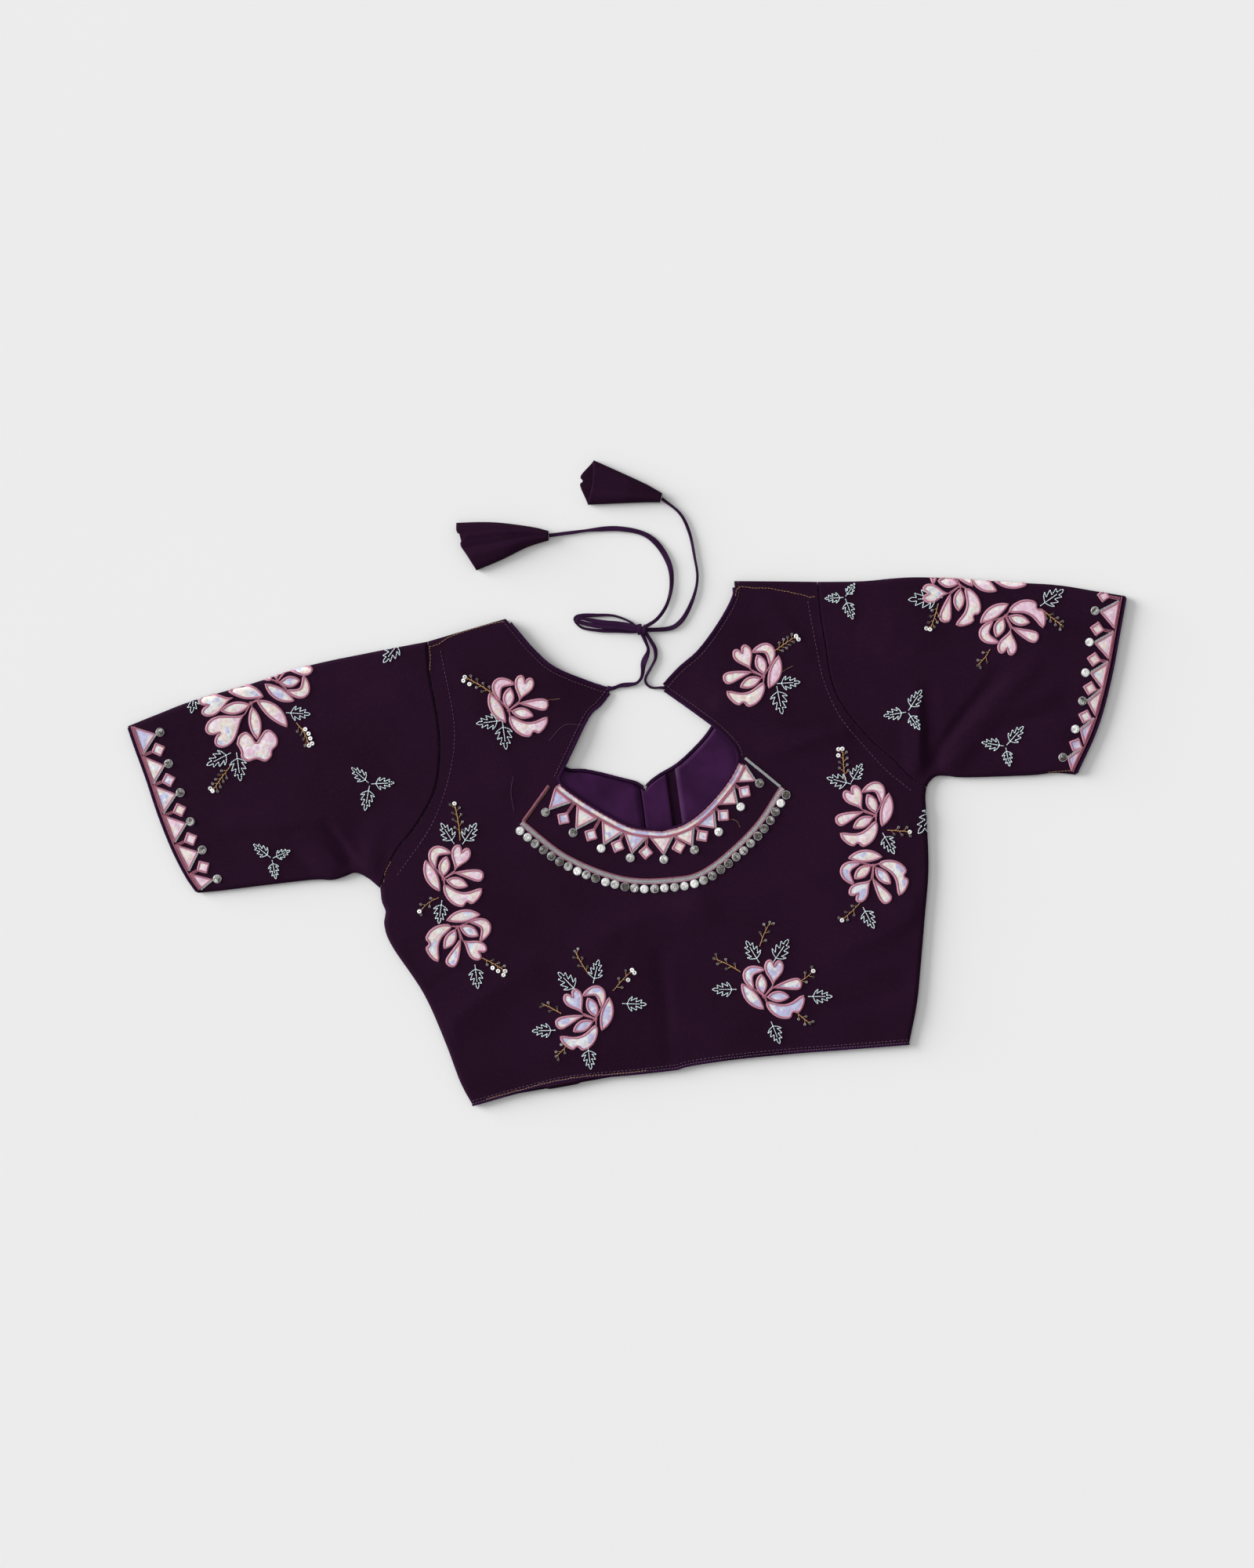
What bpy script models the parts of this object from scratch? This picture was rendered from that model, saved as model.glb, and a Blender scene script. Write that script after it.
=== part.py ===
"""Short-sleeved choli blouse laid flat with its back uppermost.

The blouse has a scooped back neck with two pointed straps, a cord from each strap's point, a bow
knot, and a folded-cloth tassel on each free end. Run it with: blender --background --python part.py

Frame: +Z is up and Z = 0 is the surface that the blouse lies on. X runs across the blouse towards
the wearer's right sleeve, Y runs up the centre back from hem to neck. The tables are in
millimetres, and MM turns them into Blender's metres.
"""

import math

import bmesh
import bpy
import numpy as np
from mathutils import Matrix, Vector

MM = 0.001

# Driving sizes of the blouse, laid flat (mm)
CHEST_WIDTH = 453.4
HEM_WIDTH = 360.1
SLEEVE_SPAN = 822.2
SHOULDER_WIDTH = 321.6
NECK_WIDTH = 189.3
SCOOP_WIDTH = 149.5
STRAP_GAP = 42.1
HEM_Y = -197.0
SHOULDER_Y = 195.0
TIP_Y = 121.0
SCOOP_CORNER_Y = 55.8
SCOOP_LOW_Y = 2.8
FRONT_NECK_LOW_Y = 38.8

# Thickness of the cloth, seams and layers (mm)
CLOTH = 1.0
SEAM_GAP = 0.3
UPPER_RIM = 3.00
LOWER_RIM = 1.25
SLEEVE_FOLD = 2.0
EDGE_ROUND = 4.0
FOLD_FADE = 12.0
BODY_HEIGHT = 5.4
SLEEVE_HEIGHT = 5.0
OPEN_EDGE_HEIGHT = 4.2
OPEN_EDGE_REACH = 26.0
TIP_HEIGHT = 2.2
TIP_REACH = 54.0
LINING_INSET = 7.0
LINING_NECK_INSET = 1.4
LINING_HEM_INSET = 2.5
ARMHOLE_GAP = 0.4
PIPING_RADIUS = 1.0
PIPING_STOP = 2.6
PIPING_TOLERANCE = 0.06
CORD_RADIUS = 1.2
CORD_STEP = 3.4 * 2 * CORD_RADIUS
PATH_STEP = 0.4
PLACKET = {"left": -3.4, "right": 18.8, "thick": 1.4}
FACING_STRIP = 7.4
LINING_TOP = 2 * CLOTH + SEAM_GAP

# Steps in from a rounded edge, where the wall turns under (mm)
EDGE_STEPS = (0.0, 0.6, 1.7, 3.1, 4.8)

# Rows of the grids that meet at an armhole, as shares of its length from the underarm up. They
# are close together at both ends, where the panel or the sleeve turns under. The back's neck
# edge changes from the scoop to the strap's lower edge, then to its upper edge, at the two joins.
ARMHOLE_JOINS = (0.40, 0.68)
ARMHOLE_ROWS = np.concatenate([
    [0.0, 0.003, 0.0085, 0.016, 0.025], np.linspace(0.025, 0.40, 7)[1:],
    np.linspace(0.40, 0.68, 6)[1:], np.linspace(0.68, 0.940, 5)[1:],
    [0.965, 0.982, 0.992, 0.9975, 1.0]])

# Corners of the cut pieces as they lie (mm)
CORNERS = {
    "hem_left": (4.75 - HEM_WIDTH / 2, HEM_Y),
    "hem_right": (4.75 + HEM_WIDTH / 2, HEM_Y),
    "hem_centre": (-6.0, HEM_Y + 6.0),
    "underarm_left": (1.3 - CHEST_WIDTH / 2, -11.1),
    "underarm_right": (1.3 + CHEST_WIDTH / 2, 8.0),
    "shoulder_left": (2.1 - SHOULDER_WIDTH / 2, SHOULDER_Y - 11.9),
    "shoulder_right": (2.1 + SHOULDER_WIDTH / 2, SHOULDER_Y - 7.9),
    "neck_left": (1.35 - NECK_WIDTH / 2, SHOULDER_Y - 2.3),
    "neck_right": (1.35 + NECK_WIDTH / 2, SHOULDER_Y + 2.1),
    "tip_left": (4.55 - STRAP_GAP / 2, TIP_Y + 2.1),
    "tip_right": (4.55 + STRAP_GAP / 2, TIP_Y - 1.9),
    "scoop_left": (5.05 - SCOOP_WIDTH / 2, SCOOP_CORNER_Y + 1.7),
    "scoop_right": (5.05 + SCOOP_WIDTH / 2, SCOOP_CORNER_Y - 1.8),
    "scoop_low": (9.2, SCOOP_LOW_Y),
    "cuff_top_left": (-SLEEVE_SPAN / 2, 148.8),
    "cuff_top_right": (SLEEVE_SPAN / 2, 140.5),
    "cuff_low_left": (-373.6, 5.9),
    "cuff_low_right": (350.3, 1.7),
    "front_low": (0.4, FRONT_NECK_LOW_Y),
}

# Each edge: its first and last corner, and rows of (share of the way, mm off to the left)
EDGES = {
    "side_left": (
        "hem_left", "underarm_left",
        [(0.112, 1.9), (0.300, 0.4), (0.519, 1.2), (0.754, 9.7), (0.850, 8.8), (0.899, 3.4),
         (0.945, 3.1)]),
    "side_right": (
        "hem_right", "underarm_right",
        [(0.158, -4.2), (0.311, -5.2), (0.486, -5.8), (0.681, -6.2), (0.863, -2.3),
         (0.961, 0.3)]),
    "armhole_left": (
        "underarm_left", "shoulder_left",
        [(0.153, -7.0), (0.265, -18.8), (0.418, -29.0), (0.563, -27.8), (0.696, -21.2),
         (0.873, -7.0)]),
    "armhole_right": (
        "underarm_right", "shoulder_right",
        [(0.063, 7.3), (0.175, 13.7), (0.304, 22.8), (0.461, 29.0), (0.588, 28.4), (0.754, 18.2),
         (0.898, 8.6)]),
    "shoulder_left": ("shoulder_left", "neck_left", [(0.144, 0.6), (0.625, 1.9)]),
    "shoulder_right": ("shoulder_right", "neck_right", [(0.660, -2.1)]),
    "strap_left": (
        "tip_left", "neck_left", [(0.161, 5.1), (0.461, 11.6), (0.679, 9.1), (0.861, 4.1)]),
    "strap_right": (
        "tip_right", "neck_right", [(0.196, -3.1), (0.401, -8.6), (0.680, -9.6), (0.904, -6.8)]),
    "tip_left": ("scoop_left", "tip_left", [(0.277, 2.1), (0.672, 5.0), (0.828, 1.7)]),
    "tip_right": ("scoop_right", "tip_right", [(0.099, -4.5), (0.328, -5.9), (0.613, -3.9)]),
    "scoop_left": (
        "scoop_low", "scoop_left", [(0.240, 8.4), (0.490, 9.0), (0.746, 7.1), (0.934, 4.0)]),
    "scoop_right": (
        "scoop_low", "scoop_right",
        [(0.191, -8.5), (0.436, -11.3), (0.737, -9.0), (0.933, -4.2)]),
    "hem_left": ("hem_centre", "hem_left", [(0.185, -1.9), (0.527, -6.3), (0.769, -3.9)]),
    "hem_right": (
        "hem_centre", "hem_right", [(0.064, 2.0), (0.251, 3.4), (0.502, 3.0), (0.739, 1.5)]),
    "sleeve_top_left": (
        "shoulder_left", "cuff_top_left",
        [(0.186, -4.1), (0.391, -7.5), (0.583, -6.0), (0.774, -5.7), (0.900, -2.8)]),
    "sleeve_top_right": (
        "shoulder_right", "cuff_top_right",
        [(0.145, 2.3), (0.334, 7.7), (0.651, 6.9), (0.778, 6.4), (0.906, 2.8)]),
    "sleeve_under_left": (
        "underarm_left", "cuff_low_left",
        [(0.063, -8.2), (0.130, -13.0), (0.191, -10.2), (0.260, -7.6), (0.363, -8.2),
         (0.621, -4.9), (0.867, -1.4)]),
    "sleeve_under_right": (
        "underarm_right", "cuff_low_right",
        [(0.022, 4.2), (0.072, 8.4), (0.150, 7.8), (0.269, 5.4), (0.688, 2.7), (0.856, 2.9)]),
    "cuff_left": (
        "cuff_top_left", "cuff_low_left",
        [(0.121, -1.2), (0.310, -2.5), (0.511, -4.7), (0.715, -5.3), (0.886, -3.5)]),
    "cuff_right": (
        "cuff_top_right", "cuff_low_right", [(0.162, 2.3), (0.458, 6.2), (0.725, 6.3)]),
    "front_neck_left": (
        "front_low", "neck_left",
        [(0.018, 1.2), (0.052, 3.4), (0.103, 10.2), (0.180, 20.4), (0.241, 29.4), (0.299, 40.0),
         (0.406, 42.2), (0.571, 32.8), (0.760, 18.9)]),
    "front_neck_right": (
        "front_low", "neck_right",
        [(0.034, -1.6), (0.083, -6.8), (0.154, -16.3), (0.245, -24.1), (0.344, -29.9),
         (0.478, -32.9), (0.653, -27.4), (0.816, -16.6)]),
}

# Largest folds in the upper layer: start, end, half width, rise at the start and at the end (mm)
FOLDS = [
    {"from": (-262, 46), "to": (-243, 8), "half": 9, "rise": (-0.6, -2.0)},
    {"from": (-281, 34), "to": (-255, 2), "half": 13, "rise": (0.4, 1.6)},
    {"from": (-301, 29), "to": (-272, 4), "half": 8, "rise": (-0.5, -1.4)},
    {"from": (-222, 36), "to": (-232, 6), "half": 13, "rise": (0.5, 1.4)},
    {"from": (-331, 60), "to": (-255, 46), "half": 20, "rise": (0.7, 0.9)},
    {"from": (226, 84), "to": (222, 28), "half": 13, "rise": (0.4, 1.7)},
    {"from": (241, 86), "to": (237, 26), "half": 10, "rise": (-0.7, -1.2)},
    {"from": (236, 26), "to": (299, 92), "half": 11, "rise": (-0.9, -0.6)},
    {"from": (252, 26), "to": (325, 92), "half": 13, "rise": (1.4, 0.6)},
    {"from": (292, 45), "to": (349, 56), "half": 15, "rise": (-0.4, -0.9)},
    {"from": (72, 100), "to": (150, 72), "half": 12, "rise": (1.3, 0.6)},
    {"from": (106, 56), "to": (165, 62), "half": 13, "rise": (0.6, 1.0)},
    {"from": (-57, -78), "to": (27, -62), "half": 26, "rise": (0.9, 1.2)},
    {"from": (27, -64), "to": (86, -104), "half": 24, "rise": (1.2, 0.8)},
    {"from": (-7, -100), "to": (-10, -180), "half": 12, "rise": (-0.8, -0.5)},
    {"from": (-190, -132), "to": (-115, -94), "half": 22, "rise": (1.2, 0.8)},
    {"from": (-214, -72), "to": (-150, -60), "half": 20, "rise": (-0.8, -0.4)},
    {"from": (206, -88), "to": (140, -114), "half": 20, "rise": (1.1, 0.7)},
    {"from": (186, -148), "to": (120, -160), "half": 18, "rise": (-0.8, -0.4)},
    {"from": (120, 168), "to": (146, 134), "half": 16, "rise": (0.7, 0.9)},
    {"from": (-136, 158), "to": (-110, 60), "half": 22, "rise": (0.6, 0.8)},
]

# Cords: routes as (x, y, z of the centre line), each from the blouse outwards (mm)
KNOT = {"at": (15.5, 168.3, 2.9), "half": (5.8, 4.2, 2.8)}
CORD_ROUTES = {
    "cord_left_strap": [
        (-15.9, 123.2, 1.7), (-7.7, 125.6, 1.4), (-0.7, 125.4, 1.3), (5.8, 126.0, 1.3),
        (10.6, 131.0, 1.3), (13.4, 141.5, 1.3), (18.4, 150.4, 1.3), (17.6, 157.6, 1.4),
        (14.8, 166.4, 2.4)],
    "cord_right_strap": [
        (25.0, 119.4, 1.7), (18.0, 120.4, 1.4), (14.2, 124.2, 1.3), (14.3, 129.4, 1.3),
        (19.8, 137.2, 1.3), (23.4, 143.8, 1.3), (24.2, 151.0, 1.3), (21.8, 158.0, 1.4),
        (17.4, 166.8, 2.4)],
    "cord_outer_loop": [
        (11.6, 171.0, 1.6), (1.8, 179.6, 1.4), (-11.8, 184.5, 1.3), (-29.0, 186.9, 1.3),
        (-36.0, 185.6, 1.3), (-38.6, 180.8, 1.3), (-35.8, 176.2, 1.3), (-28.6, 173.2, 1.3),
        (-12.4, 170.6, 1.4), (11.0, 167.6, 1.7)],
    "cord_inner_loop": [
        (12.6, 171.2, 5.0), (-1.0, 176.8, 4.5), (-17.5, 181.6, 4.0), (-28.5, 183.9, 4.0),
        (-34.4, 181.0, 4.0), (-31.2, 176.0, 4.0), (-15.0, 173.9, 4.0), (0.0, 171.4, 4.4),
        (12.2, 168.4, 5.0)],
    "cord_long_tail": [
        (19.0, 170.4, 4.2), (29.6, 175.6, 2.4), (39.0, 186.3, 1.4), (44.9, 201.7, 1.3),
        (45.3, 217.8, 1.3), (38.6, 234.9, 1.3), (27.3, 246.2, 1.3), (8.8, 252.7, 1.3),
        (-10.3, 254.7, 1.3), (-29.7, 255.0, 1.5), (-48.8, 255.1, 2.2)],
    "cord_short_tail": [
        (20.0, 167.6, 2.0), (35.4, 166.2, 1.4), (44.4, 168.2, 1.3), (53.2, 176.0, 1.3),
        (62.2, 190.9, 1.3), (66.7, 205.1, 1.3), (66.6, 221.3, 1.3), (65.3, 240.9, 1.3),
        (59.9, 257.8, 1.5), (46.7, 272.3, 2.2)],
}

# Tassels: a cone of cloth pressed flat. Each has the two ends of its narrow neck, the two corners
# of its mouth, and the bows of its edges and of the upper and lower lips (share, mm to the left)
TASSELS = {
    "tassel_long": {
        "neck": ((-49.0, 258.0), (-49.6, 252.2)),
        "mouth": ((-122.5, 275.0), (-111.8, 236.0)),
        "upper_edge": [(0.174, -2.0), (0.514, -3.2), (0.749, -2.3)],
        "lower_edge": [(0.290, -1.5), (0.645, -0.1)],
        "upper_lip": [(0.166, -2.2), (0.290, 1.4), (0.420, -3.6), (0.700, -2.0)],
        "lower_lip": [(0.200, -1.0), (0.500, -2.6), (0.800, -1.0)],
    },
    "tassel_short": {
        "neck": ((47.2, 275.6), (45.0, 270.2)),
        "mouth": ((-4.5, 310.1), (-13.7, 276.5)),
        "upper_edge": [(0.253, -1.0), (0.565, -0.7), (0.794, -0.4)],
        "lower_edge": [(0.193, -0.4), (0.570, -0.3)],
        "upper_lip": [(0.494, 1.6)],
        "lower_lip": [(0.366, -8.7), (0.488, -6.4), (0.600, -8.3)],
    },
}
TASSEL_HEIGHTS = (4.6, 5.8, 4.6)
TASSEL_ROUND = (0.42, 0.20, 0.14)

# Colour, roughness of each material, linear
MATERIALS = {
    "aubergine_crepe": ((0.020, 0.006, 0.018), 0.75),
    "purple_satin": ((0.046, 0.013, 0.070), 0.42),
    "purple_piping": ((0.052, 0.016, 0.070), 0.50),
}


# Curves in the plane
def through(points, per_span=10):
    """A smooth line (Catmull-Rom) through the points, in any number of dimensions."""
    p = np.array(points, float)
    p = np.vstack([2 * p[0] - p[1], p, 2 * p[-1] - p[-2]])
    t = np.linspace(0, 1, per_span, endpoint=False)[:, None]
    spans = []
    for a, b, c, d in zip(p[:-3], p[1:-2], p[2:-1], p[3:]):
        spans.append(0.5 * (2 * b + (c - a) * t + (2 * a - 5 * b + 4 * c - d) * t**2
                            + (3 * b - 3 * c + d - a) * t**3))
    return np.vstack(spans + [p[-2][None]])


def bowed(start, end, bows):
    """A smooth line from start to end, through rows of (share of the way, offset to the left)."""
    a, b = np.array(start, float), np.array(end, float)
    left = np.array([-(b - a)[1], (b - a)[0]]) / np.linalg.norm(b - a)
    via = [a + share * (b - a) + off * left for share, off in bows]
    return through([a, *via, b])


def edge(name):
    first, last, bows = EDGES[name]
    return bowed(CORNERS[first], CORNERS[last], bows)


def at_shares(line, shares):
    """Points of a line at the given shares of its length."""
    along = np.concatenate([[0], np.cumsum(np.linalg.norm(np.diff(line, axis=0), axis=1))])
    along /= along[-1]
    return np.stack([np.interp(shares, along, line[:, k]) for k in range(line.shape[1])], axis=1)


def length_of(line):
    return float(np.linalg.norm(np.diff(line, axis=0), axis=1).sum())


def distance_to(line, points):
    """The shortest distance from each point to a line of straight segments."""
    a, b = line[:-1], line[1:]
    d = b - a
    p = points[:, None, :]
    t = np.clip(((p - a) * d).sum(2) / np.maximum((d * d).sum(1), 1e-9), 0, 1)
    return np.linalg.norm(p - a - t[..., None] * d, axis=2).min(1)


# Height of the upper layer
def bump(share):
    """1 at share 0, falling smoothly to 0 at share 1 and beyond."""
    return np.clip(1 - np.clip(share, 0, None) ** 2, 0, 1) ** 2


def fold_rise(points):
    rise = np.zeros(len(points))
    for fold in FOLDS:
        a, b = np.array(fold["from"], float), np.array(fold["to"], float)
        t = np.clip((points - a) @ (b - a) / ((b - a) @ (b - a)), 0, 1)
        away = np.linalg.norm(points - a - t[:, None] * (b - a), axis=1)
        start, end = fold["rise"]
        rise += (start + (end - start) * t) * bump(away / fold["half"])
    return rise


def open_edges():
    return [np.vstack([edge("hem_left")[::-1], edge("hem_right")]), edge("cuff_left"),
            edge("cuff_right")]


def rounded_edges():
    """The folds and seams where the wall turns under: sides, shoulders and sleeve edges."""
    names = ("side", "shoulder", "sleeve_top", "sleeve_under")
    return [edge(f"{name}_{side}") for name in names for side in ("left", "right")]


def to_rounded(points):
    return np.min([distance_to(line, points) for line in rounded_edges()], axis=0)


def upper_height(points, base):
    """Height of the upper layer's outer face, before it turns under at the edges."""
    height = base + fold_rise(points) * (1 - bump(to_rounded(points) / FOLD_FADE))
    near_open = np.min([distance_to(line, points) for line in open_edges()], axis=0)
    height += (OPEN_EDGE_HEIGHT - base) * bump(near_open / OPEN_EDGE_REACH)
    for tip in ("tip_left", "tip_right"):
        away = np.linalg.norm(points - np.array(CORNERS[tip]), axis=1)
        height += (TIP_HEIGHT - base) * bump(away / TIP_REACH)
    return height


def rounding(share):
    """The height of a quarter ellipse: 0 at share 0, rising to 1 at share 1."""
    return np.sqrt(1 - (1 - np.clip(share, 0, 1)) ** 2)


def turn_under(points):
    """0 on a rounded edge, rising to 1 where the wall is flat again."""
    return rounding(to_rounded(points) / EDGE_ROUND)


# Grids of points for the panels
def across(outer, inner, count):
    """Points from the outer edge to the inner one, close together where the wall turns under."""
    reach = np.linalg.norm(inner - outer)
    shares = np.concatenate([np.array(EDGE_STEPS) / reach,
                             np.linspace(EDGE_STEPS[-1] / reach, 1, count + 1)[1:]])
    return outer + shares[:, None] * (inner - outer)


def neck_points(side):
    """Points of the back's neck edge, one for each row of the armhole."""
    low, high = ARMHOLE_JOINS
    rows = ARMHOLE_ROWS
    scoop = at_shares(edge(f"scoop_{side}"), rows[rows < low] / low)
    tip = at_shares(edge(f"tip_{side}"), (rows[(rows >= low) & (rows < high)] - low) / (high - low))
    strap = at_shares(edge(f"strap_{side}"), (rows[rows >= high] - high) / (1 - high))
    return scoop, tip, strap


def share_at(line, x):
    """How far along a line, as a share of its length, it first crosses a value of x."""
    after = int(np.argmax((line[:, 0] - x) * np.sign(line[-1][0] - line[0][0]) > 0))
    return length_of(line[:after + 1]) / length_of(line)


def panel(side, below, neck, hem_shift, rows_down, count):
    """A half panel: rows from the side seam to the centre line, then from armhole to neck."""
    sides = at_shares(edge(f"side_{side}"), np.linspace(0, 1, rows_down + 1))[:-1]
    centre = at_shares(np.array([below, neck[0]]), np.linspace(0, 1, rows_down + 1))[:-1]
    outer = np.concatenate([sides, at_shares(edge(f"armhole_{side}"), ARMHOLE_ROWS)])
    inner = np.concatenate([centre, neck])
    rows = np.array([across(a, b, count) for a, b in zip(outer, inner)])
    hem = edge(f"hem_{side}")
    order = np.argsort(hem[:, 0])
    rows[0, :, 1] = np.interp(rows[0, :, 0], hem[order, 0], hem[order, 1]) + hem_shift
    return rows


# Blender objects
def material(name):
    made = bpy.data.materials.get(name)
    if made:
        return made
    colour, roughness = MATERIALS[name]
    made = bpy.data.materials.new(name)
    made.use_nodes = True
    shader = made.node_tree.nodes["Principled BSDF"]
    shader.inputs["Base Color"].default_value = (*colour, 1)
    shader.inputs["Roughness"].default_value = roughness
    shader.inputs["Metallic"].default_value = 0.0
    return made


def add(name, data, finish):
    made = bpy.data.objects.new(name, data)
    data.materials.append(material(finish))
    bpy.data.collections["choli_blouse"].objects.link(made)
    made.parent = bpy.data.objects["blouse"]
    return made


def sheet_mesh(name, grids, finish, closed=False, facing_up=True):
    """One mesh over grids of points in mm. closed joins each row's last point to its first."""
    bm = bmesh.new()
    for grid in grids:
        rows = [[bm.verts.new(Vector(point) * MM) for point in row] for row in grid]
        for low, high in zip(rows[:-1], rows[1:]):
            for k in range(len(low) if closed else len(low) - 1):
                n = (k + 1) % len(low)
                bm.faces.new((low[k], low[n], high[n], high[k]))
    bmesh.ops.remove_doubles(bm, verts=bm.verts, dist=0.02 * MM)
    bmesh.ops.recalc_face_normals(bm, faces=bm.faces)
    if not closed and (sum(f.normal.z * f.calc_area() for f in bm.faces) > 0) != facing_up:
        bmesh.ops.reverse_faces(bm, faces=bm.faces)
    mesh = bpy.data.meshes.new(name)
    bm.to_mesh(mesh)
    bm.free()
    mesh.shade_smooth()
    return add(name, mesh, finish)


def give_wall(item, thick):
    """Makes an open surface into cloth of that thickness, on its inner side."""
    wall = item.modifiers.new("cloth", "SOLIDIFY")
    wall.thickness = thick * MM
    wall.offset = -1
    wall.use_even_offset = False
    return item


def plain(line, tolerance):
    """The line without the points that lie within the tolerance of a straight run."""
    away = distance_to(line[[0, -1]], line)
    far = int(np.argmax(away))
    if away[far] <= tolerance:
        return line[[0, -1]]
    return np.vstack([plain(line[:far + 1], tolerance)[:-1], plain(line[far:], tolerance)])


def tube(name, points, radius):
    """A round cord or piping through points in mm."""
    curve = bpy.data.curves.new(name, "CURVE")
    curve.dimensions = "3D"
    curve.bevel_depth = radius * MM
    curve.bevel_resolution = 2
    curve.use_fill_caps = True
    spline = curve.splines.new("POLY")
    spline.points.add(len(points) - 1)
    for spot, point in zip(spline.points, points):
        spot.co = (*(point * MM), 1)
    return add(name, curve, "purple_piping")


# The pieces
def raised(points, height):
    return np.concatenate([points, height[:, None]], axis=1)


def make_back():
    grids = []
    for side in ("left", "right"):
        neck = np.concatenate(neck_points(side))
        rows = panel(side, CORNERS["hem_centre"], neck, 0, 10, 8)
        flat = rows.reshape(-1, 2)
        height = UPPER_RIM + (upper_height(flat, BODY_HEIGHT) - UPPER_RIM) * turn_under(flat)
        grids.append(raised(flat, height).reshape(*rows.shape[:2], 3))
    return give_wall(sheet_mesh("back_panel", grids, "aubergine_crepe"), CLOTH)


def front_neck_points(side, from_x, inset=0.0):
    """Points of the front's neck edge, or of a line inside it, from a value of x upwards."""
    line = edge(f"front_neck_{side}")
    if inset:
        line = beside(line, inset * (1 if side == "left" else -1))
    start = share_at(line, from_x)
    return at_shares(line, start + (1 - start) * ARMHOLE_ROWS)


def make_front(side):
    """The outer cloth of one front. Its underside is flat and its side edge turns up."""
    from_x = CORNERS["front_low"][0] + SEAM_GAP / 2 * (1 if side == "right" else -1)
    neck = front_neck_points(side, from_x)
    rows = panel(side, (from_x, CORNERS["hem_centre"][1]), neck, 0, 7, 4)
    flat = rows.reshape(-1, 2)
    height = LOWER_RIM * (1 - turn_under(flat))
    grid = raised(flat, height).reshape(*rows.shape[:2], 3)
    piece = sheet_mesh(f"front_{side}_panel", [grid], "aubergine_crepe", facing_up=False)
    return give_wall(piece, CLOTH)


def make_lining(side, from_x):
    """The satin lining of one front, a flat wall just above the outer cloth."""
    neck = front_neck_points(side, from_x, LINING_NECK_INSET)
    rows_down, dense = 7, 4
    rows = panel(side, (from_x, CORNERS["hem_centre"][1]), neck, LINING_HEM_INSET, rows_down, 4)
    inward = rows[:, -1:] - rows[:, :1]
    inward /= np.linalg.norm(inward, axis=2, keepdims=True)
    rows = np.concatenate([rows[:, :1] + LINING_INSET * inward, rows[:, len(EDGE_STEPS):]], axis=1)
    rows = np.concatenate([rows[:rows_down + 1], rows[rows_down + 1 + dense:-dense]])
    flat = rows.reshape(-1, 2)
    grid = raised(flat, np.full(len(flat), LINING_TOP)).reshape(*rows.shape[:2], 3)
    return give_wall(sheet_mesh(f"front_{side}_lining", [grid], "purple_satin"), CLOTH)


def make_placket():
    """The folded satin band that carries the hooks, inside the centre front opening."""
    neck = np.vstack([edge("front_neck_left")[::-1], edge("front_neck_right")[1:]])
    near = neck[np.abs(neck[:, 0]) < 40]
    columns = np.linspace(PLACKET["left"], PLACKET["right"], 5)
    top = np.interp(columns, near[:, 0], near[:, 1]) - LINING_NECK_INSET
    bottom = CORNERS["hem_centre"][1] + 3.0
    grid = [[(x, bottom + (y - bottom) * share, CLOTH + SEAM_GAP + PLACKET["thick"])
             for x, y in zip(columns, top)] for share in np.linspace(0, 1, 9)]
    return give_wall(sheet_mesh("hook_placket", [grid], "purple_satin"), PLACKET["thick"])


def line_between(ends, shares):
    """Points on the straight line between the first and last points given."""
    return ends[0] + shares[:, None] * (ends[-1] - ends[0])


def patch(first, last, upper, lower, along, sections):
    """Fills four edges: each row blends the first line into the last one, with its ends moved
    onto the upper and lower edges."""
    rows = []
    for share, high, low, shares in zip(along, upper, lower, sections):
        line = (1 - share) * at_shares(first, shares) + share * at_shares(last, shares)
        ends = np.array([high, low])
        rows.append(line - line_between(line, shares) + line_between(ends, shares))
    return np.array(rows)


def pressed_tube(top, low, upper, lower):
    """Rings of points: over the top layer and back along the underside."""
    over = np.concatenate([top, upper[..., None]], axis=2)
    under = np.concatenate([low, lower[..., None]], axis=2)[:, -2:0:-1]
    return np.concatenate([over, under], axis=1)


def make_sleeve(side):
    """One sleeve, a tube pressed flat: folded along its top, seamed under the arm."""
    hole = at_shares(edge(f"armhole_{side}"), ARMHOLE_ROWS)[::-1]
    ahead = np.gradient(hole, axis=0)
    ahead /= np.linalg.norm(ahead, axis=1)[:, None]
    out = np.stack([ahead[:, 1], -ahead[:, 0]], axis=1) * (1 if side == "left" else -1)
    hole = hole + ARMHOLE_GAP * out
    along = np.concatenate([np.linspace(0, 0.45, 6), np.linspace(0.45, 1, 6)[1:]])
    top = at_shares(edge(f"sleeve_top_{side}"), along)
    top += (1 - along)[:, None] * (hole[0] - top[0])
    under = at_shares(edge(f"sleeve_under_{side}"), along)
    under += (1 - along)[:, None] * (hole[-1] - under[0])
    sections = [1 - ARMHOLE_ROWS[::-1]] * len(along)
    rows = patch(hole, edge(f"cuff_{side}"), top, under, along, sections)
    flat = rows.reshape(-1, 2)
    turn = turn_under(flat).reshape(rows.shape[:2])
    turn[:, [0, -1]] = 0
    height = upper_height(flat, SLEEVE_HEIGHT).reshape(rows.shape[:2])
    upper = SLEEVE_FOLD + (height - SLEEVE_FOLD) * turn
    rings = pressed_tube(rows, rows, upper, SLEEVE_FOLD * (1 - turn))
    piece = sheet_mesh(f"sleeve_{side}", [rings], "aubergine_crepe", closed=True)
    return give_wall(piece, CLOTH)


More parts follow.
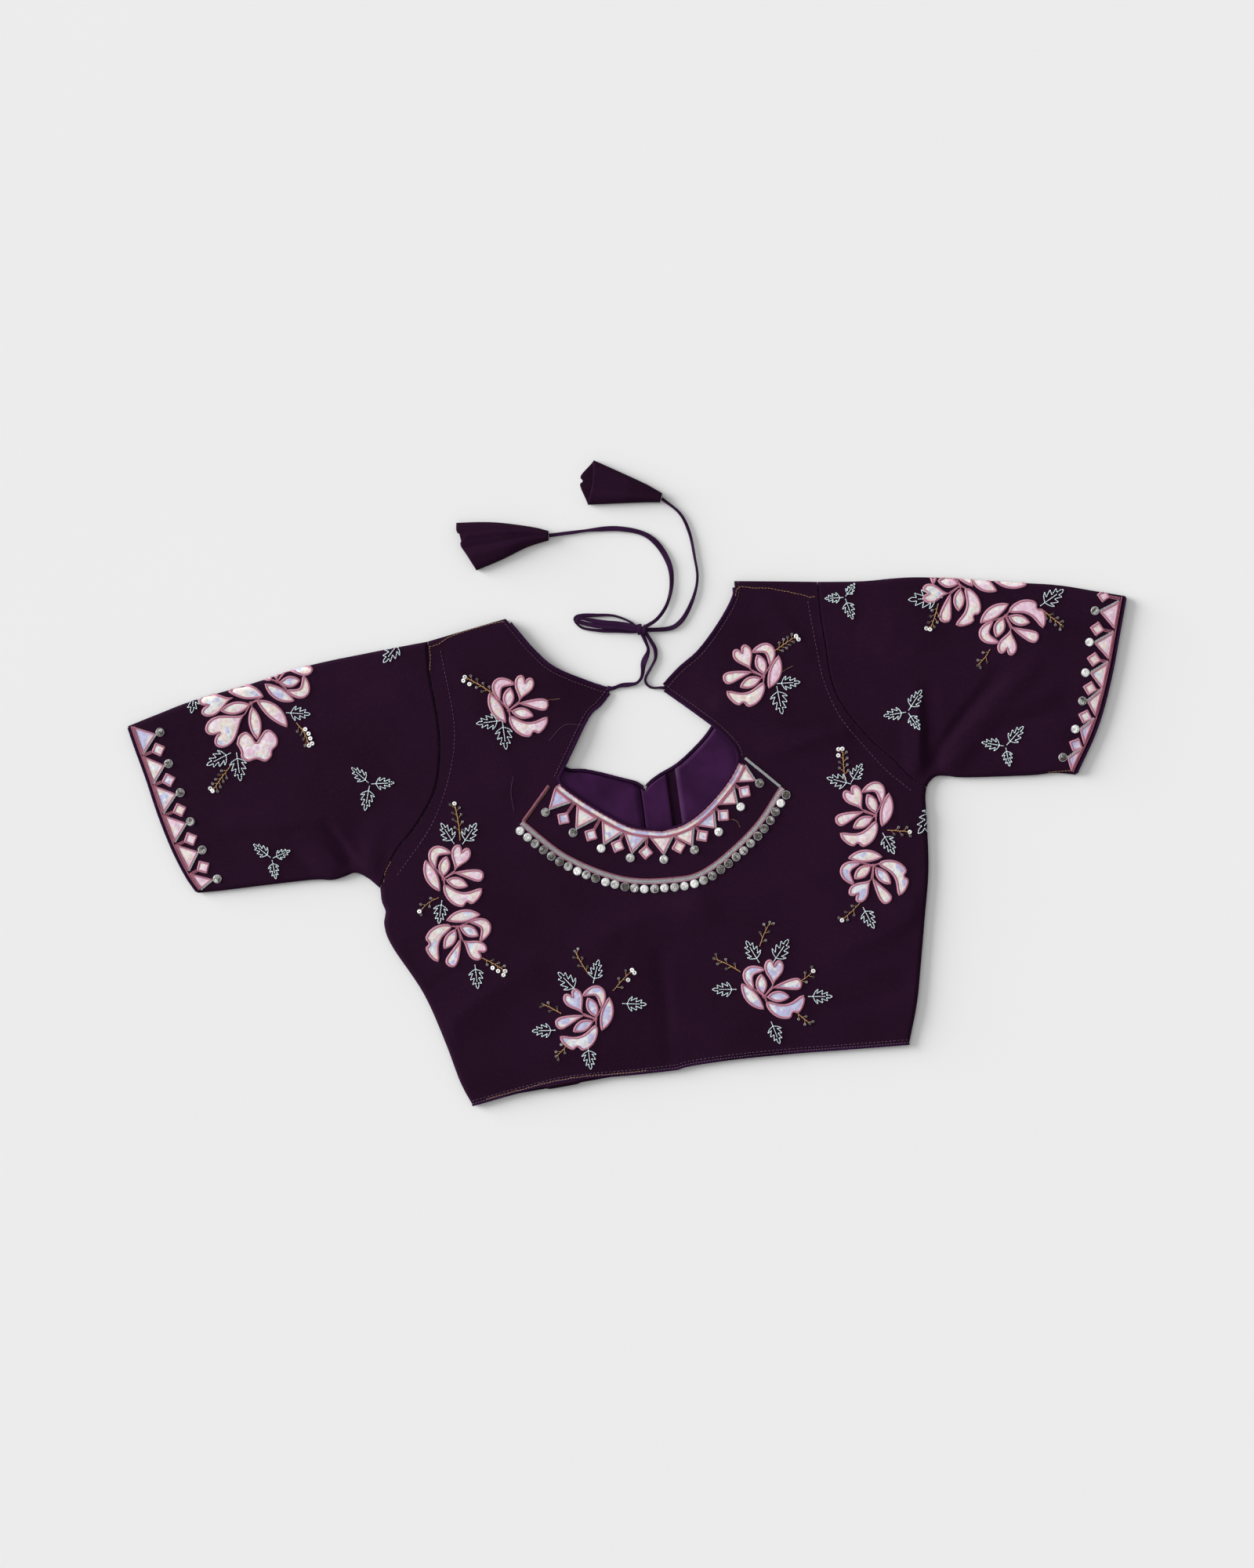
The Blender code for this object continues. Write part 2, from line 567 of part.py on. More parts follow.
def make_tassel(name):
    """A cone of cloth pressed flat, gathered to the cord at its neck and open at its mouth."""
    spec = TASSELS[name]
    (neck_a, neck_b), (mouth_a, mouth_b) = spec["neck"], spec["mouth"]
    along = np.linspace(0, 1, 8)
    edges = [at_shares(bowed(neck_a, mouth_a, spec["upper_edge"]), along),
             at_shares(bowed(neck_b, mouth_b, spec["lower_edge"]), along)]
    neck = np.array([neck_a, neck_b])
    round_by = np.interp(along, (0, 0.5, 1), TASSEL_ROUND)[:, None]
    ends = round_by * np.array([0, 0.1, 0.35, 0.7, 1.0])
    middle = np.full((len(along), 1), 0.5)
    sections = np.concatenate([ends, middle, 1 - ends[:, ::-1]], axis=1)
    layers = []
    for lip in ("upper_lip", "lower_lip"):
        mouth = bowed(mouth_a, mouth_b, spec[lip])
        layers.append(patch(neck, mouth, *edges, along, sections))
    turn = rounding(np.minimum(sections, 1 - sections) / round_by)
    tops = np.interp(along, (0, 0.5, 1), TASSEL_HEIGHTS)[:, None]
    fold = TASSEL_HEIGHTS[0] / 2
    rings = pressed_tube(*layers, fold + (tops - fold) * turn, fold * (1 - turn))
    piece = sheet_mesh(name, [rings], "aubergine_crepe", closed=True)
    return give_wall(piece, CLOTH)


def beside(line, off):
    """A path at a distance to the left of a line, kept clear of the line's corners."""
    dense = at_shares(line, np.linspace(0, 1, round(length_of(line) / PATH_STEP)))
    ahead = np.gradient(dense, axis=0)
    ahead /= np.linalg.norm(ahead, axis=1)[:, None]
    moved = dense + off * np.stack([-ahead[:, 1], ahead[:, 0]], axis=1)
    return moved[distance_to(line, moved) > abs(off) - 0.02]


def cut(route, start, end):
    """The route without its first and last few millimetres."""
    whole = length_of(route)
    shares = np.linspace(start / whole, 1 - end / whole, round(whole / PATH_STEP))
    return at_shares(route, shares)


def make_back_piping():
    """A narrow piping round the scoop between the straps' points, and one up each strap."""
    off = PIPING_RADIUS + SEAM_GAP
    scoop_left, tip_left, strap_left = neck_points("left")
    scoop_right, tip_right, strap_right = neck_points("right")
    round_scoop = np.vstack([strap_left[:1], tip_left[::-1], scoop_left[::-1], scoop_right[1:],
                             tip_right, strap_right[:1]])
    paths = {
        "back_piping_scoop": cut(beside(round_scoop, off), PIPING_STOP, PIPING_STOP),
        "back_piping_left": cut(beside(strap_left, -off), PIPING_STOP, 2 * PIPING_STOP),
        "back_piping_right": cut(beside(strap_right, off), PIPING_STOP, 2 * PIPING_STOP),
    }
    for name, path in paths.items():
        heights = upper_height(path, BODY_HEIGHT) - CLOTH / 2
        tube(name, plain(raised(path, heights), PIPING_TOLERANCE), PIPING_RADIUS)


def make_front_piping():
    off = PIPING_RADIUS + SEAM_GAP
    for side, sign in (("left", -1), ("right", 1)):
        middle = CORNERS["front_low"][0]
        path = beside(front_neck_points(side, middle), sign * off)
        path = path[sign * (path[:, 0] - middle) > SEAM_GAP]
        path = cut(path, PIPING_RADIUS, 2 * PIPING_STOP)
        path = raised(path, np.full(len(path), CLOTH + SEAM_GAP / 2))
        tube(f"front_piping_{side}", plain(path, PIPING_TOLERANCE), PIPING_RADIUS)


def clear_of_knot(route):
    """Which points of a route a cord's flat end could stand at without touching the knot."""
    ahead = np.gradient(route, axis=0)
    side = np.stack([-ahead[:, 1], ahead[:, 0], np.zeros(len(route))], axis=1)
    side /= np.linalg.norm(side, axis=1)[:, None]
    up = np.cross(ahead, side)
    up /= np.linalg.norm(up, axis=1)[:, None]
    reach = np.array(KNOT["half"]) + 1.4 * SEAM_GAP
    clear = np.ones(len(route), bool)
    for turn in np.linspace(0, 2 * math.pi, 8, endpoint=False):
        rim = route + CORD_RADIUS * (math.cos(turn) * side + math.sin(turn) * up)
        clear &= np.linalg.norm((rim - np.array(KNOT["at"])) / reach, axis=1) > 1
    return clear


def make_cords():
    """The two cords, in stretches that stop just short of the knot."""
    for name, stops in CORD_ROUTES.items():
        route = through(stops, 40)
        route = route[clear_of_knot(route)]
        count = round(length_of(route) / CORD_STEP) + 1
        tube(name, at_shares(route, np.linspace(0, 1, count)), CORD_RADIUS)


def make_knot():
    bm = bmesh.new()
    bmesh.ops.create_uvsphere(bm, u_segments=14, v_segments=9, radius=1.0)
    bmesh.ops.transform(bm, matrix=Matrix.Diagonal((*[h * MM for h in KNOT["half"]], 1)),
                        verts=bm.verts)
    mesh = bpy.data.meshes.new("bow_knot")
    bm.to_mesh(mesh)
    bm.free()
    mesh.shade_smooth()
    knot = add("bow_knot", mesh, "purple_piping")
    knot.location = Vector(KNOT["at"]) * MM
    return knot


def start_scene():
    for item in list(bpy.data.objects):
        bpy.data.objects.remove(item)
    group = bpy.data.collections.new("choli_blouse")
    bpy.context.scene.collection.children.link(group)
    group.objects.link(bpy.data.objects.new("blouse", None))


def main():
    start_scene()
    make_back()
    for side in ("left", "right"):
        make_front(side)
        make_sleeve(side)
    make_lining("left", PLACKET["left"] - 2 * SEAM_GAP)
    make_lining("right", PLACKET["right"] + FACING_STRIP)
    make_placket()
    make_back_piping()
    make_front_piping()
    make_cords()
    make_knot()
    for name in TASSELS:
        make_tassel(name)


main()
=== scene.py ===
# %% [markdown]
# # A choli blouse, laid flat
# The blouse lies on a pale surface with its back uppermost, seen from straight above. Its solids
# come from the imported model, which says where each piece of cloth is. This script dresses them:
# finer cloth with its creases, satin cords, and the embroidery, piece by piece.
#
# Sizes in the tables are in millimetres, and MM turns them into Blender's metres. X runs across
# the blouse, Y up its centre line from hem to neck, and Z up from the surface that it lies on.

# %% Load the frame and set the units
import math
from contextlib import contextmanager

import bmesh
import bpy
import numpy as np
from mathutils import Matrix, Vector
from mathutils.bvhtree import BVHTree
from mathutils.geometry import delaunay_2d_cdt


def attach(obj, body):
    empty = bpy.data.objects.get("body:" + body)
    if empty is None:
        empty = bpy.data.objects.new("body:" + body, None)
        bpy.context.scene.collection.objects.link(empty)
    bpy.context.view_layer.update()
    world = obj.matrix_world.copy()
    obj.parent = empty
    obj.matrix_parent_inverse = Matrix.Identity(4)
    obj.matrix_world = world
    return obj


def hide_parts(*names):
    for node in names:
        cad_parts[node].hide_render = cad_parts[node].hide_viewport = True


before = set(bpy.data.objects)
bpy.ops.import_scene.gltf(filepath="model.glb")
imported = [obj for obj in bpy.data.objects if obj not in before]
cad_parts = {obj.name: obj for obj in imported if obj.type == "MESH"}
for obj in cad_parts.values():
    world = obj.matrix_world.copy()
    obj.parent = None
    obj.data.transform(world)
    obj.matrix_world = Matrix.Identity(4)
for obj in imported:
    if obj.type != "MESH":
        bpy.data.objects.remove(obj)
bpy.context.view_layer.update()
MM = 0.001
dice = np.random.default_rng(11)

# %% [markdown]
# ## Camera, floor and light
# The photograph looks straight down on a blouse turned about eight degrees. A long lens keeps
# the view nearly parallel. The floor is a plain pale sheet. One large soft light stands low at the
# upper left, a weaker one stands high, and an even sky fills the shadows at the lower right.

# %% The camera, straight above
VIEW_HEIGHT = 1.28
TILT = math.radians(8)
LENS, SENSOR = 85.0, 36.0
camera_data = bpy.data.cameras.new("camera")
camera_data.lens = LENS
camera_data.sensor_width = SENSOR
camera = bpy.data.objects.new("camera", camera_data)
camera.location = (-0.0139, 0.0452, 0.005 + VIEW_HEIGHT * LENS / SENSOR)
camera.rotation_euler = (0, 0, -TILT)
bpy.context.scene.collection.objects.link(camera)
bpy.context.scene.camera = camera
bpy.context.scene.view_settings.view_transform = "Standard"
print("camera at", round(camera.location.z, 3), "m")

# %% Floor and light
FLOOR_SIZE = 40.0
bpy.ops.mesh.primitive_plane_add(size=FLOOR_SIZE, location=(0, 0, -0.0004))
floor = bpy.context.object
floor.name = "floor"


def soft_light(name, bearing, height, spread, power):
    """A far light as wide as spread, in degrees, from a bearing and a height over the floor."""
    lamp = bpy.data.lights.new(name, "SUN")
    lamp.angle = math.radians(spread)
    lamp.energy = power
    item = bpy.data.objects.new(name, lamp)
    around, up = math.radians(bearing), math.radians(height)
    place = Vector((math.cos(around) * math.cos(up), math.sin(around) * math.cos(up), math.sin(up)))
    item.location = 2 * place
    item.rotation_euler = (-place).to_track_quat("-Z", "Y").to_euler()
    bpy.context.scene.collection.objects.link(item)
    return item


soft_light("side_light", 156, 13, 38, 6.55)
soft_light("top_light", 130, 60, 60, 0.40)
world = bpy.data.worlds.new("studio")
world.use_nodes = True
world.node_tree.nodes["Background"].inputs["Color"].default_value = (1.0, 1.0, 1.0, 1)
world.node_tree.nodes["Background"].inputs["Strength"].default_value = 0.44
bpy.context.scene.world = world

# %% [markdown]
# ## Shader groups
# Three effects turn up in several materials, so each is a node group with its own inputs: a
# woven surface (two crossed sets of threads, as a height and a mask of the gaps between them,
# where the materials paint shade), a soft mottling that makes dyed cloth look uneven (on the satin
# lining its paler patches are painted sheen), and the twist of embroidery thread, whose colour is
# lighter on its raised plies as painted sheen and differs at random by stitch.

# %% Build the node groups


def new_group(name, inputs, outputs):
    group = bpy.data.node_groups.new(name, "ShaderNodeTree")
    for label, kind, value in inputs:
        made = group.interface.new_socket(name=label, in_out="INPUT", socket_type=kind)
        made.default_value = value
    for label, kind in outputs:
        group.interface.new_socket(name=label, in_out="OUTPUT", socket_type=kind)
    return group, group.nodes.new("NodeGroupInput"), group.nodes.new("NodeGroupOutput")


def math_node(tree, operation, first, second=None, clamp=False):
    made = tree.nodes.new("ShaderNodeMath")
    made.operation = operation
    made.use_clamp = clamp
    for socket, value in zip(made.inputs, (first, second)):
        if isinstance(value, (int, float)):
            socket.default_value = value
        elif value is not None:
            tree.links.new(value, socket)
    return made.outputs[0]


def mix_colour(tree, factor, first, second, blend="MIX"):
    made = tree.nodes.new("ShaderNodeMix")
    made.data_type = "RGBA"
    made.blend_type = blend
    for socket, value in ((made.inputs[0], factor), (made.inputs[6], first), (made.inputs[7], second)):
        if isinstance(value, (int, float, tuple)):
            socket.default_value = value
        else:
            tree.links.new(value, socket)
    return made.outputs[2]


def noise(tree, scale, detail=3.0, vector=None, rough=0.55):
    made = tree.nodes.new("ShaderNodeTexNoise")
    for label, value in (("Scale", scale), ("Detail", detail), ("Roughness", rough)):
        made.inputs[label].default_value = value
    if vector is not None:
        tree.links.new(vector, made.inputs["Vector"])
    return made.outputs["Fac"]


def object_place(tree):
    return tree.nodes.new("ShaderNodeTexCoord").outputs["Object"]


def make_weave_group():
    """Crossed threads: a height, and how much of it is gap between threads, where the materials paint
    shade.
    """
    group, given, out = new_group(
        "woven_threads",
        [("Vector", "NodeSocketVector", (0, 0, 0)), ("Threads per metre", "NodeSocketFloat", 900.0)],
        [("Height", "NodeSocketFloat"), ("Gaps", "NodeSocketFloat")])
    heights = []
    for direction in ("X", "Y"):
        wave = group.nodes.new("ShaderNodeTexWave")
        wave.bands_direction = direction
        for label, value in (("Distortion", 1.2), ("Detail", 1.0), ("Detail Scale", 0.6)):
            wave.inputs[label].default_value = value
        group.links.new(given.outputs["Vector"], wave.inputs["Vector"])
        group.links.new(given.outputs["Threads per metre"], wave.inputs["Scale"])
        heights.append(wave.outputs["Fac"])
    height = math_node(group, "MULTIPLY", heights[0], heights[1])
    gaps = math_node(group, "SUBTRACT", 1.0, height, clamp=True)
    group.links.new(height, out.inputs["Height"])
    group.links.new(gaps, out.inputs["Gaps"])
    return group


def make_mottle_group():
    """A colour that drifts between a dye and a paler colour (faded dye on most cloths, painted sheen on
    the satin lining), with fine specks of lint.
    """
    group, given, out = new_group(
        "dye_mottle",
        [("Vector", "NodeSocketVector", (0, 0, 0)), ("Dye", "NodeSocketColor", (0.5, 0.5, 0.5, 1)),
         ("Faded", "NodeSocketColor", (0.6, 0.6, 0.6, 1)), ("Patches", "NodeSocketFloat", 14.0),
         ("Lint", "NodeSocketFloat", 0.1)],
        [("Color", "NodeSocketColor")])
    patches = group.nodes.new("ShaderNodeTexNoise")
    patches.inputs["Detail"].default_value = 4.0
    group.links.new(given.outputs["Vector"], patches.inputs["Vector"])
    group.links.new(given.outputs["Patches"], patches.inputs["Scale"])
    spread = math_node(group, "MULTIPLY_ADD", patches.outputs["Fac"], 2.4, clamp=True)
    spread.node.inputs[2].default_value = -0.7
    mixed = mix_colour(group, spread, given.outputs["Dye"], given.outputs["Faded"])
    fine = noise(group, 1700.0, 1.0, given.outputs["Vector"])
    specks = math_node(group, "MULTIPLY", math_node(group, "GREATER_THAN", fine, 0.70),
                       given.outputs["Lint"])
    linted = mix_colour(group, specks, mixed, (0.5, 0.42, 0.5, 1))
    group.links.new(linted, out.inputs["Color"])
    return group


def make_thread_group():
    """Twisted embroidery thread: plies as a height, and a colour that is lighter on the raised plies,
    as painted sheen, and that differs at random by stitch.
    """
    group, given, out = new_group(
        "thread_twist",
        [("Vector", "NodeSocketVector", (0, 0, 0)), ("Dye", "NodeSocketColor", (0.5, 0.5, 0.5, 1)),
         ("Worn", "NodeSocketColor", (0.6, 0.6, 0.6, 1)), ("Stitch", "NodeSocketFloat", 0.5)],
        [("Color", "NodeSocketColor"), ("Height", "NodeSocketFloat")])
    plies = noise(group, 1500.0, 2.0, given.outputs["Vector"])
    # Painted sheen: the raised plies turn to the lighter colour, and each stitch's tint adds its own
    # tone.
    uneven = math_node(group, "MULTIPLY", math_node(group, "ADD", plies, given.outputs["Stitch"]), 0.5)
    shade = mix_colour(group, uneven, given.outputs["Dye"], given.outputs["Worn"])
    group.links.new(shade, out.inputs["Color"])
    group.links.new(plies, out.inputs["Height"])
    return group


WEAVE, MOTTLE, THREAD = make_weave_group(), make_mottle_group(), make_thread_group()
print("groups", [g.name for g in (WEAVE, MOTTLE, THREAD)])

# %% [markdown]
# ## Materials
# Each cloth has its own Principled shader with the groups in front of it. The outer cloth is
# nearly black with a matt weave, and the satins take a lower roughness. Small stitched pieces
# carry a number for each stitch, named tint, so no two have the same shade.

# %% Material helpers


def principled(name, roughness, sheen=0.0, metallic=0.0, coat=0.0, specular=0.5):
    made = bpy.data.materials.new(name)
    made.use_nodes = True
    shader = made.node_tree.nodes["Principled BSDF"]
    values = {"Roughness": roughness, "Metallic": metallic, "Sheen Weight": sheen,
              "Sheen Roughness": 0.5, "Coat Weight": coat, "Specular IOR Level": specular}
    for label, value in values.items():
        shader.inputs[label].default_value = value
    return made, made.node_tree, shader


def use_group(tree, group, place, **values):
    made = tree.nodes.new("ShaderNodeGroup")
    made.node_tree = group
    tree.links.new(place, made.inputs["Vector"])
    for label, value in values.items():
        socket = made.inputs[label.replace("_", " ")]
        if hasattr(value, "node"):
            tree.links.new(value, socket)
        else:
            socket.default_value = (*value, 1) if isinstance(value, tuple) else value
    return made


def bump_from(tree, shader, height, strength, depth):
    made = tree.nodes.new("ShaderNodeBump")
    made.inputs["Strength"].default_value = strength
    made.inputs["Distance"].default_value = depth
    tree.links.new(height, made.inputs["Height"])
    tree.links.new(made.outputs["Normal"], shader.inputs["Normal"])


def woven_material(name, dye, fade_and_sheen, roughness, threads, patches, lint, bump, specular):
    """Any of the blouse's cloths: mottled dye under crossed threads, with painted shade in the gaps
    between them; on the satin the mottling's paler patches are painted sheen.
    """
    made, tree, shader = principled(name, roughness, specular=specular)
    place = object_place(tree)
    mottle = use_group(tree, MOTTLE, place, Dye=dye, Faded=fade_and_sheen, Patches=patches, Lint=lint)
    weave = use_group(tree, WEAVE, place, Threads_per_metre=threads)
    # Painted shade: the gaps between the threads turn towards a darker copy of the dye.
    painted_gap_shade = mix_colour(tree, math_node(tree, "MULTIPLY", weave.outputs["Gaps"], 0.30),
                        mottle.outputs["Color"], tuple(0.4 * c for c in dye) + (1,))
    tree.links.new(painted_gap_shade, shader.inputs["Base Color"])
    bump_from(tree, shader, weave.outputs["Height"], bump, 0.0002)
    return made


def stitch_tint(tree):
    """The number that each small stitched piece carries, from 0 to 1."""
    made = tree.nodes.new("ShaderNodeAttribute")
    made.attribute_name = "tint"
    return made.outputs["Fac"]


def thread_material(name, dye, sheen_and_tone, roughness):
    made, tree, shader = principled(name, roughness, sheen=0.2)
    twist = use_group(tree, THREAD, object_place(tree), Dye=dye, Worn=sheen_and_tone,
                      Stitch=stitch_tint(tree))
    tree.links.new(twist.outputs["Color"], shader.inputs["Base Color"])
    bump_from(tree, shader, twist.outputs["Height"], 0.5, 0.0001)
    return made


# %% The blouse's own materials
# Each cloth: dye, faded dye (painted sheen on the satin), roughness, threads per metre, size of
# patches, lint, bump, specular
CLOTHS = {name: woven_material(name, *values) for name, *values in (
    ("aubergine_crepe", (0.0150, 0.0026, 0.0140), (0.0215, 0.0044, 0.0195),
     0.85, 700, 11, 0.05, 0.5, 0.06),
    # The purple satin's paler patches are painted sheen, the soft mottled highlights of the lining.
    ("purple_satin", (0.025, 0.0046, 0.031), (0.058, 0.0125, 0.070),
     0.45, 520, 34, 0.02, 0.35, 0.06),
    ("purple_piping", (0.019, 0.0036, 0.024), (0.034, 0.0080, 0.043),
     0.70, 620, 60, 0.04, 0.5, 0.04),
    ("cord_satin", (0.020, 0.0036, 0.025), (0.036, 0.0080, 0.046),
     0.50, 620, 40, 0.02, 0.4, 0.08),
)}


def give(item, material):
    item.data.materials.clear()
    item.data.materials.append(material)


def floor_material():
    made, tree, shader = principled("pale_paper", 0.9)
    shade = mix_colour(tree, noise(tree, 3.0, 2.0, object_place(tree)), (0.80, 0.80, 0.80, 1),
                       (0.82, 0.82, 0.82, 1))
    tree.links.new(shade, shader.inputs["Base Color"])
    return made


give(floor, floor_material())
print("cloths", sorted(CLOTHS))

# %% [markdown]
# ## Lines that cloth and thread follow
# Seams, necklines and cords are drawn as smooth lines through a few chosen points. The helper
# below is a Catmull-Rom curve, and the next ones walk along a line, or measure how far a point
# is from it. The cloth, the cords and the stitches all use them.

# %% Line helpers


def through(points, per_span=10):
    """A smooth line (Catmull-Rom) through the points, in any number of dimensions."""
    p = np.array(points, float)
    p = np.vstack([2 * p[0] - p[1], p, 2 * p[-1] - p[-2]])
    t = np.linspace(0, 1, per_span, endpoint=False)[:, None]
    spans = []
    for a, b, c, d in zip(p[:-3], p[1:-2], p[2:-1], p[3:]):
        spans.append(0.5 * (2 * b + (c - a) * t + (2 * a - 5 * b + 4 * c - d) * t**2
                            + (3 * b - 3 * c + d - a) * t**3))
    return np.vstack(spans + [p[-2][None]])


def straight(start, end):
    """Both ends of a straight line as arrays, and the direction to its left."""
    a, b = np.array(start, float), np.array(end, float)
    return a, b, np.array([-(b - a)[1], (b - a)[0]]) / np.linalg.norm(b - a)


def bowed(start, end, bows):
    """A smooth line from start to end, through rows of (share of the way, offset to the left)."""
    a, b, left = straight(start, end)
    via = [a + share * (b - a) + off * left for share, off in bows]
    return through([a, *via, b])


def at_shares(line, shares):
    """Points of a line at the given shares of its length."""
    along = np.concatenate([[0], np.cumsum(np.linalg.norm(np.diff(line, axis=0), axis=1))])
    along /= along[-1]
    return np.stack([np.interp(shares, along, line[:, k]) for k in range(line.shape[1])], axis=1)


def length_of(line):
    return float(np.linalg.norm(np.diff(line, axis=0), axis=1).sum())


def every(line, step):
    """Points along a line, about a step apart."""
    return at_shares(line, np.linspace(0, 1, max(2, round(length_of(line) / step) + 1)))


def unit(vectors):
    return vectors / np.maximum(np.linalg.norm(vectors, axis=-1, keepdims=True), 1e-9)


def to_left(line):
    """For each point of a flat line, the direction to its left."""
    ahead = unit(np.gradient(line, axis=0))
    return np.stack([-ahead[:, 1], ahead[:, 0]], axis=1)


def distance_to(line, points, block=6000):
    """The shortest distance from each point to a line of straight segments."""
    a, b = line[:-1], line[1:]
    d = b - a
    found = []
    for start in range(0, len(points), block):
        p = points[start:start + block, None, :]
        t = np.clip(((p - a) * d).sum(2) / np.maximum((d * d).sum(1), 1e-9), 0, 1)
        found.append(np.linalg.norm(p - a - t[..., None] * d, axis=2).min(1))
    return np.concatenate(found)


# %% Mesh helpers


def new_object(name, vertices, faces, material, tint=None):
    """A mesh object from points in mm. tint is a number for each point."""
    mesh = bpy.data.meshes.new(name)
    mesh.from_pydata((np.asarray(vertices, float) * MM).tolist(), [], faces)
    if tint is not None:
        mesh.attributes.new("tint", "FLOAT", "POINT").data.foreach_set("value", np.asarray(tint, float))
    mesh.shade_smooth()
    mesh.materials.append(material)
    item = bpy.data.objects.new(name, mesh)
    bpy.context.scene.collection.objects.link(item)
    return item


def seat(item, slot, *nodes):
    """A dressed piece rides on the part's body, and may stand for solids, which it hides. Its slot is
    not used.
    """
    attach(item, "root")
    if nodes:
        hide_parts(*nodes)
    return item


def last_to_first(rows, columns, around):
    """Quads that join the last of the rings to the first."""
    last = (rows - 1) * columns
    return [(last + c, last + (c + 1) % columns, (c + 1) % columns, c) for c in range(around)]


def grid_faces(rows, columns, closed=False, start=0):
    """Quads between rows of points. closed joins each row's last point to its first."""
    faces = []
    for r in range(rows - 1):
        for c in range(columns if closed else columns - 1):
            a = start + r * columns
            n = (c + 1) % columns
            faces.append((a + c, a + n, a + columns + n, a + columns + c))
    return faces

# %% [markdown]
# ## The two tie cords
# On a choli the ties are bias strips of satin, sewn into a tube and pressed, so they lie flat in
# some places and twist narrow in others. Each one here is a single strip: from its strap's point
# through the bow's knot, round a loop, back through the knot, and out to its tassel. A curve with
# a bevel would give a round cord, so the strip is a mesh with its own width at each place.

# %% The routes of the cords, in mm
LEFT_STRAP_ROUTE = [
    (-19.0, 125.0, 2.0), (-14.8, 124.2, 1.6), (-7.7, 125.6, 1.4), (-0.7, 125.4, 1.3),
    (5.8, 126.0, 1.3), (10.6, 131.0, 1.3), (13.4, 141.5, 1.3), (18.4, 150.4, 1.3), (17.6, 157.6, 1.4),
    (14.8, 166.4, 2.4)]
RIGHT_STRAP_ROUTE = [
    (28.2, 118.6, 1.9), (24.4, 119.3, 1.6), (17.3, 120.3, 1.4), (13.4, 123.8, 1.3),
    (13.2, 129.0, 1.3), (19.4, 137.6, 1.3), (23.4, 143.8, 1.3), (24.2, 151.0, 1.3), (21.8, 158.0, 1.4),
    (17.4, 166.8, 2.4)]
OUTER_LOOP_ROUTE = [
    (11.6, 171.0, 1.6), (6.3, 176.6, 1.5), (-5.7, 183.0, 1.3), (-20.1, 185.4, 1.3),
    (-31.5, 186.6, 1.3), (-36.0, 186.2, 1.3), (-37.4, 183.8, 1.3), (-35.5, 179.8, 1.3),
    (-30.9, 175.9, 1.3), (-17.6, 172.3, 1.3), (-4.9, 170.4, 1.4), (11.0, 167.8, 1.7)]
INNER_LOOP_ROUTE = [
    (12.6, 170.6, 5.0), (4.1, 173.9, 4.4), (-4.2, 176.2, 4.0), (-12.6, 178.0, 4.0),
    (-20.8, 180.4, 4.0), (-28.8, 183.2, 4.0), (-34.2, 184.4, 4.0), (-35.4, 182.6, 4.0),
    (-32.2, 180.9, 4.0), (-25.0, 178.0, 4.0), (-14.0, 174.8, 4.0), (-2.0, 172.4, 4.4),
    (12.2, 168.4, 5.0)]
LONG_TAIL_ROUTE = [
    (19.0, 170.4, 4.2), (29.6, 175.6, 2.4), (39.0, 186.3, 1.4), (44.9, 201.7, 1.3),
    (45.3, 217.8, 1.3), (38.6, 234.9, 1.3), (27.3, 246.2, 1.3), (8.8, 252.7, 1.3),
    (-10.3, 254.7, 1.3), (-29.7, 255.0, 1.5), (-48.8, 255.1, 2.2)]
SHORT_TAIL_ROUTE = [
    (20.0, 167.6, 2.0), (35.4, 166.2, 1.4), (44.4, 168.2, 1.3), (53.2, 176.0, 1.3),
    (62.2, 190.9, 1.3), (66.7, 205.1, 1.3), (66.6, 221.3, 1.3), (65.3, 240.9, 1.3),
    (59.9, 257.8, 1.5), (46.7, 272.3, 2.2)]

